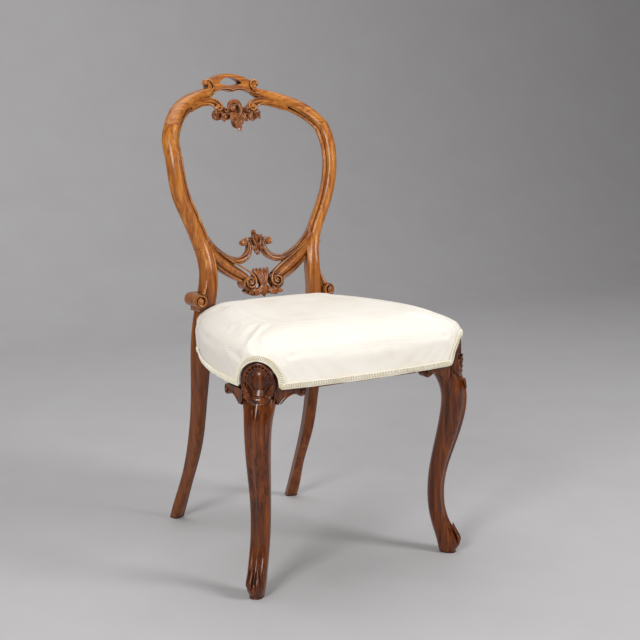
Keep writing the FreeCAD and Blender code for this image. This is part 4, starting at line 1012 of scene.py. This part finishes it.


# the tape below is coloured darker than the cord, as painted shade in the gaps between the loops
tape_weave, shader = blank("gimp_ground_tape")
place = put(tape_weave, "TexCoord").outputs["Object"]
threads = put(tape_weave, "TexNoise", {"Vector": place, "Scale": 700.0, "Detail": 2.0})
colour = put(tape_weave, "ValToRGB", {"Fac": threads.outputs["Fac"]},
             [(0.35, "#8d7442"), (0.65, "#b79c63")]).outputs["Color"]
tape_weave.node_tree.links.new(colour, shader.inputs["Base Color"])
shader.inputs["Roughness"].default_value = 0.9
for name, run, replaced in (("gimp_braid_front_and_sides", runs[0], "gimp_front_and_sides"),
                            ("gimp_braid_back", runs[1], "gimp_back")):
    strip, tape_faces = gimp_strip(name, run)
    fitted(strip, gimp, "cream_gimp", replaced)
    strip.data.materials.append(tape_weave)
    for face in strip.data.polygons[:tape_faces]:
        face.material_index = 1

# STUDIO
# Pale grey paper behind and below, two large soft lamps in front and a weaker one overhead.
# The camera stands where the photograph was taken, at the front left and a little above the seat.

paper, shader = blank("studio_paper")
place = put(paper, "TexCoord").outputs["Object"]
# paper mottle about 150 mm wide, faint, with scuffs of about 20 mm
mottle = put(paper, "TexNoise", {"Vector": place, "Scale": 6.0, "Detail": 5.0, "Roughness": 0.6})
colour = put(paper, "ValToRGB", {"Fac": mottle.outputs["Fac"]},
             [(0.3, "#bcbabb"), (0.7, "#c0bfc0")]).outputs["Color"]
paper.node_tree.links.new(colour, shader.inputs["Base Color"])
shader.inputs["Roughness"].default_value = 0.85
clear()
bpy.ops.mesh.primitive_plane_add(size=1, location=(0, -1.0, 0))
sweep = bpy.context.object
sweep.name = "studio_sweep"
sweep.scale = (14, 6, 1)
place_applied(sweep)
bpy.ops.object.mode_set(mode="EDIT")
bpy.ops.mesh.select_all(action="DESELECT")
bpy.ops.object.mode_set(mode="OBJECT")
for edge in sweep.data.edges:
    edge.select = all(sweep.data.vertices[i].co.y > 1.9 for i in edge.vertices)
bpy.ops.object.mode_set(mode="EDIT")
bpy.ops.mesh.select_mode(type="EDGE")
bpy.ops.mesh.spin(steps=16, angle=-math.pi / 2, center=(0, 2.0, 1.4), axis=(1, 0, 0))
bpy.ops.mesh.extrude_region_move(TRANSFORM_OT_translate={"value": (0, 0, 4)})
bpy.ops.mesh.select_all(action="SELECT")
bpy.ops.mesh.normals_make_consistent(inside=False)
bpy.ops.object.mode_set(mode="OBJECT")
bpy.ops.object.shade_smooth()
coat(sweep, paper)
sweep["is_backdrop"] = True

world = bpy.data.worlds.new("studio")
bpy.context.scene.world = world
world.use_nodes = True
world.node_tree.nodes["Background"].inputs["Color"].default_value = linear("#9f9d9e")
world.node_tree.nodes["Background"].inputs["Strength"].default_value = 0.55


def softbox(name, place, target, size, power):
    """Large soft lamp turned to a point."""
    lamp = bpy.data.lights.new(name, "AREA")
    lamp.shape = "RECTANGLE"
    lamp.size, lamp.size_y = size
    lamp.energy = power
    made = bpy.data.objects.new(name, lamp)
    bpy.context.scene.collection.objects.link(made)
    made.location = place
    made.rotation_euler = (Vector(target) - Vector(place)).to_track_quat("-Z", "Y").to_euler()
    return made


softbox("softbox_right", (1.5, -2.4, 1.9), (0, 0, 0.45), (0.9, 1.4), 54)
softbox("softbox_left", (-2.4, -1.6, 1.7), (0, 0, 0.45), (0.8, 1.4), 50)
softbox("overhead", (0.0, 0.8, 3.2), (0, 1.2, 0), (3.0, 3.0), 45)

FILM_WIDTH = 36
FOCAL_LENGTH_IN_PICTURE_WIDTHS = 1300 / 640
lens = bpy.data.cameras.new("camera")
lens.sensor_width = FILM_WIDTH
lens.lens = FOCAL_LENGTH_IN_PICTURE_WIDTHS * FILM_WIDTH
camera = bpy.data.objects.new("camera", lens)
bpy.context.scene.collection.objects.link(camera)
azimuth, elevation = math.radians(-32.465), math.radians(10.164)
right = Vector((math.cos(azimuth), math.sin(azimuth), 0))
level = math.cos(elevation)
ahead = Vector((-math.sin(azimuth) * level, math.cos(azimuth) * level, -math.sin(elevation)))
up = right.cross(ahead)
turned = Matrix((right, up, -ahead)).transposed().to_4x4()
camera.matrix_world = Matrix.Translation((-1.263, -1.861 - MIDDLE_Y * MM, 0.870)) @ turned
bpy.context.scene.camera = camera
bpy.context.scene.view_settings.view_transform = "Standard"

low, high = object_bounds()
{"cad": [list(cad_low), list(cad_high)], "visual": [list(low), list(high)]}
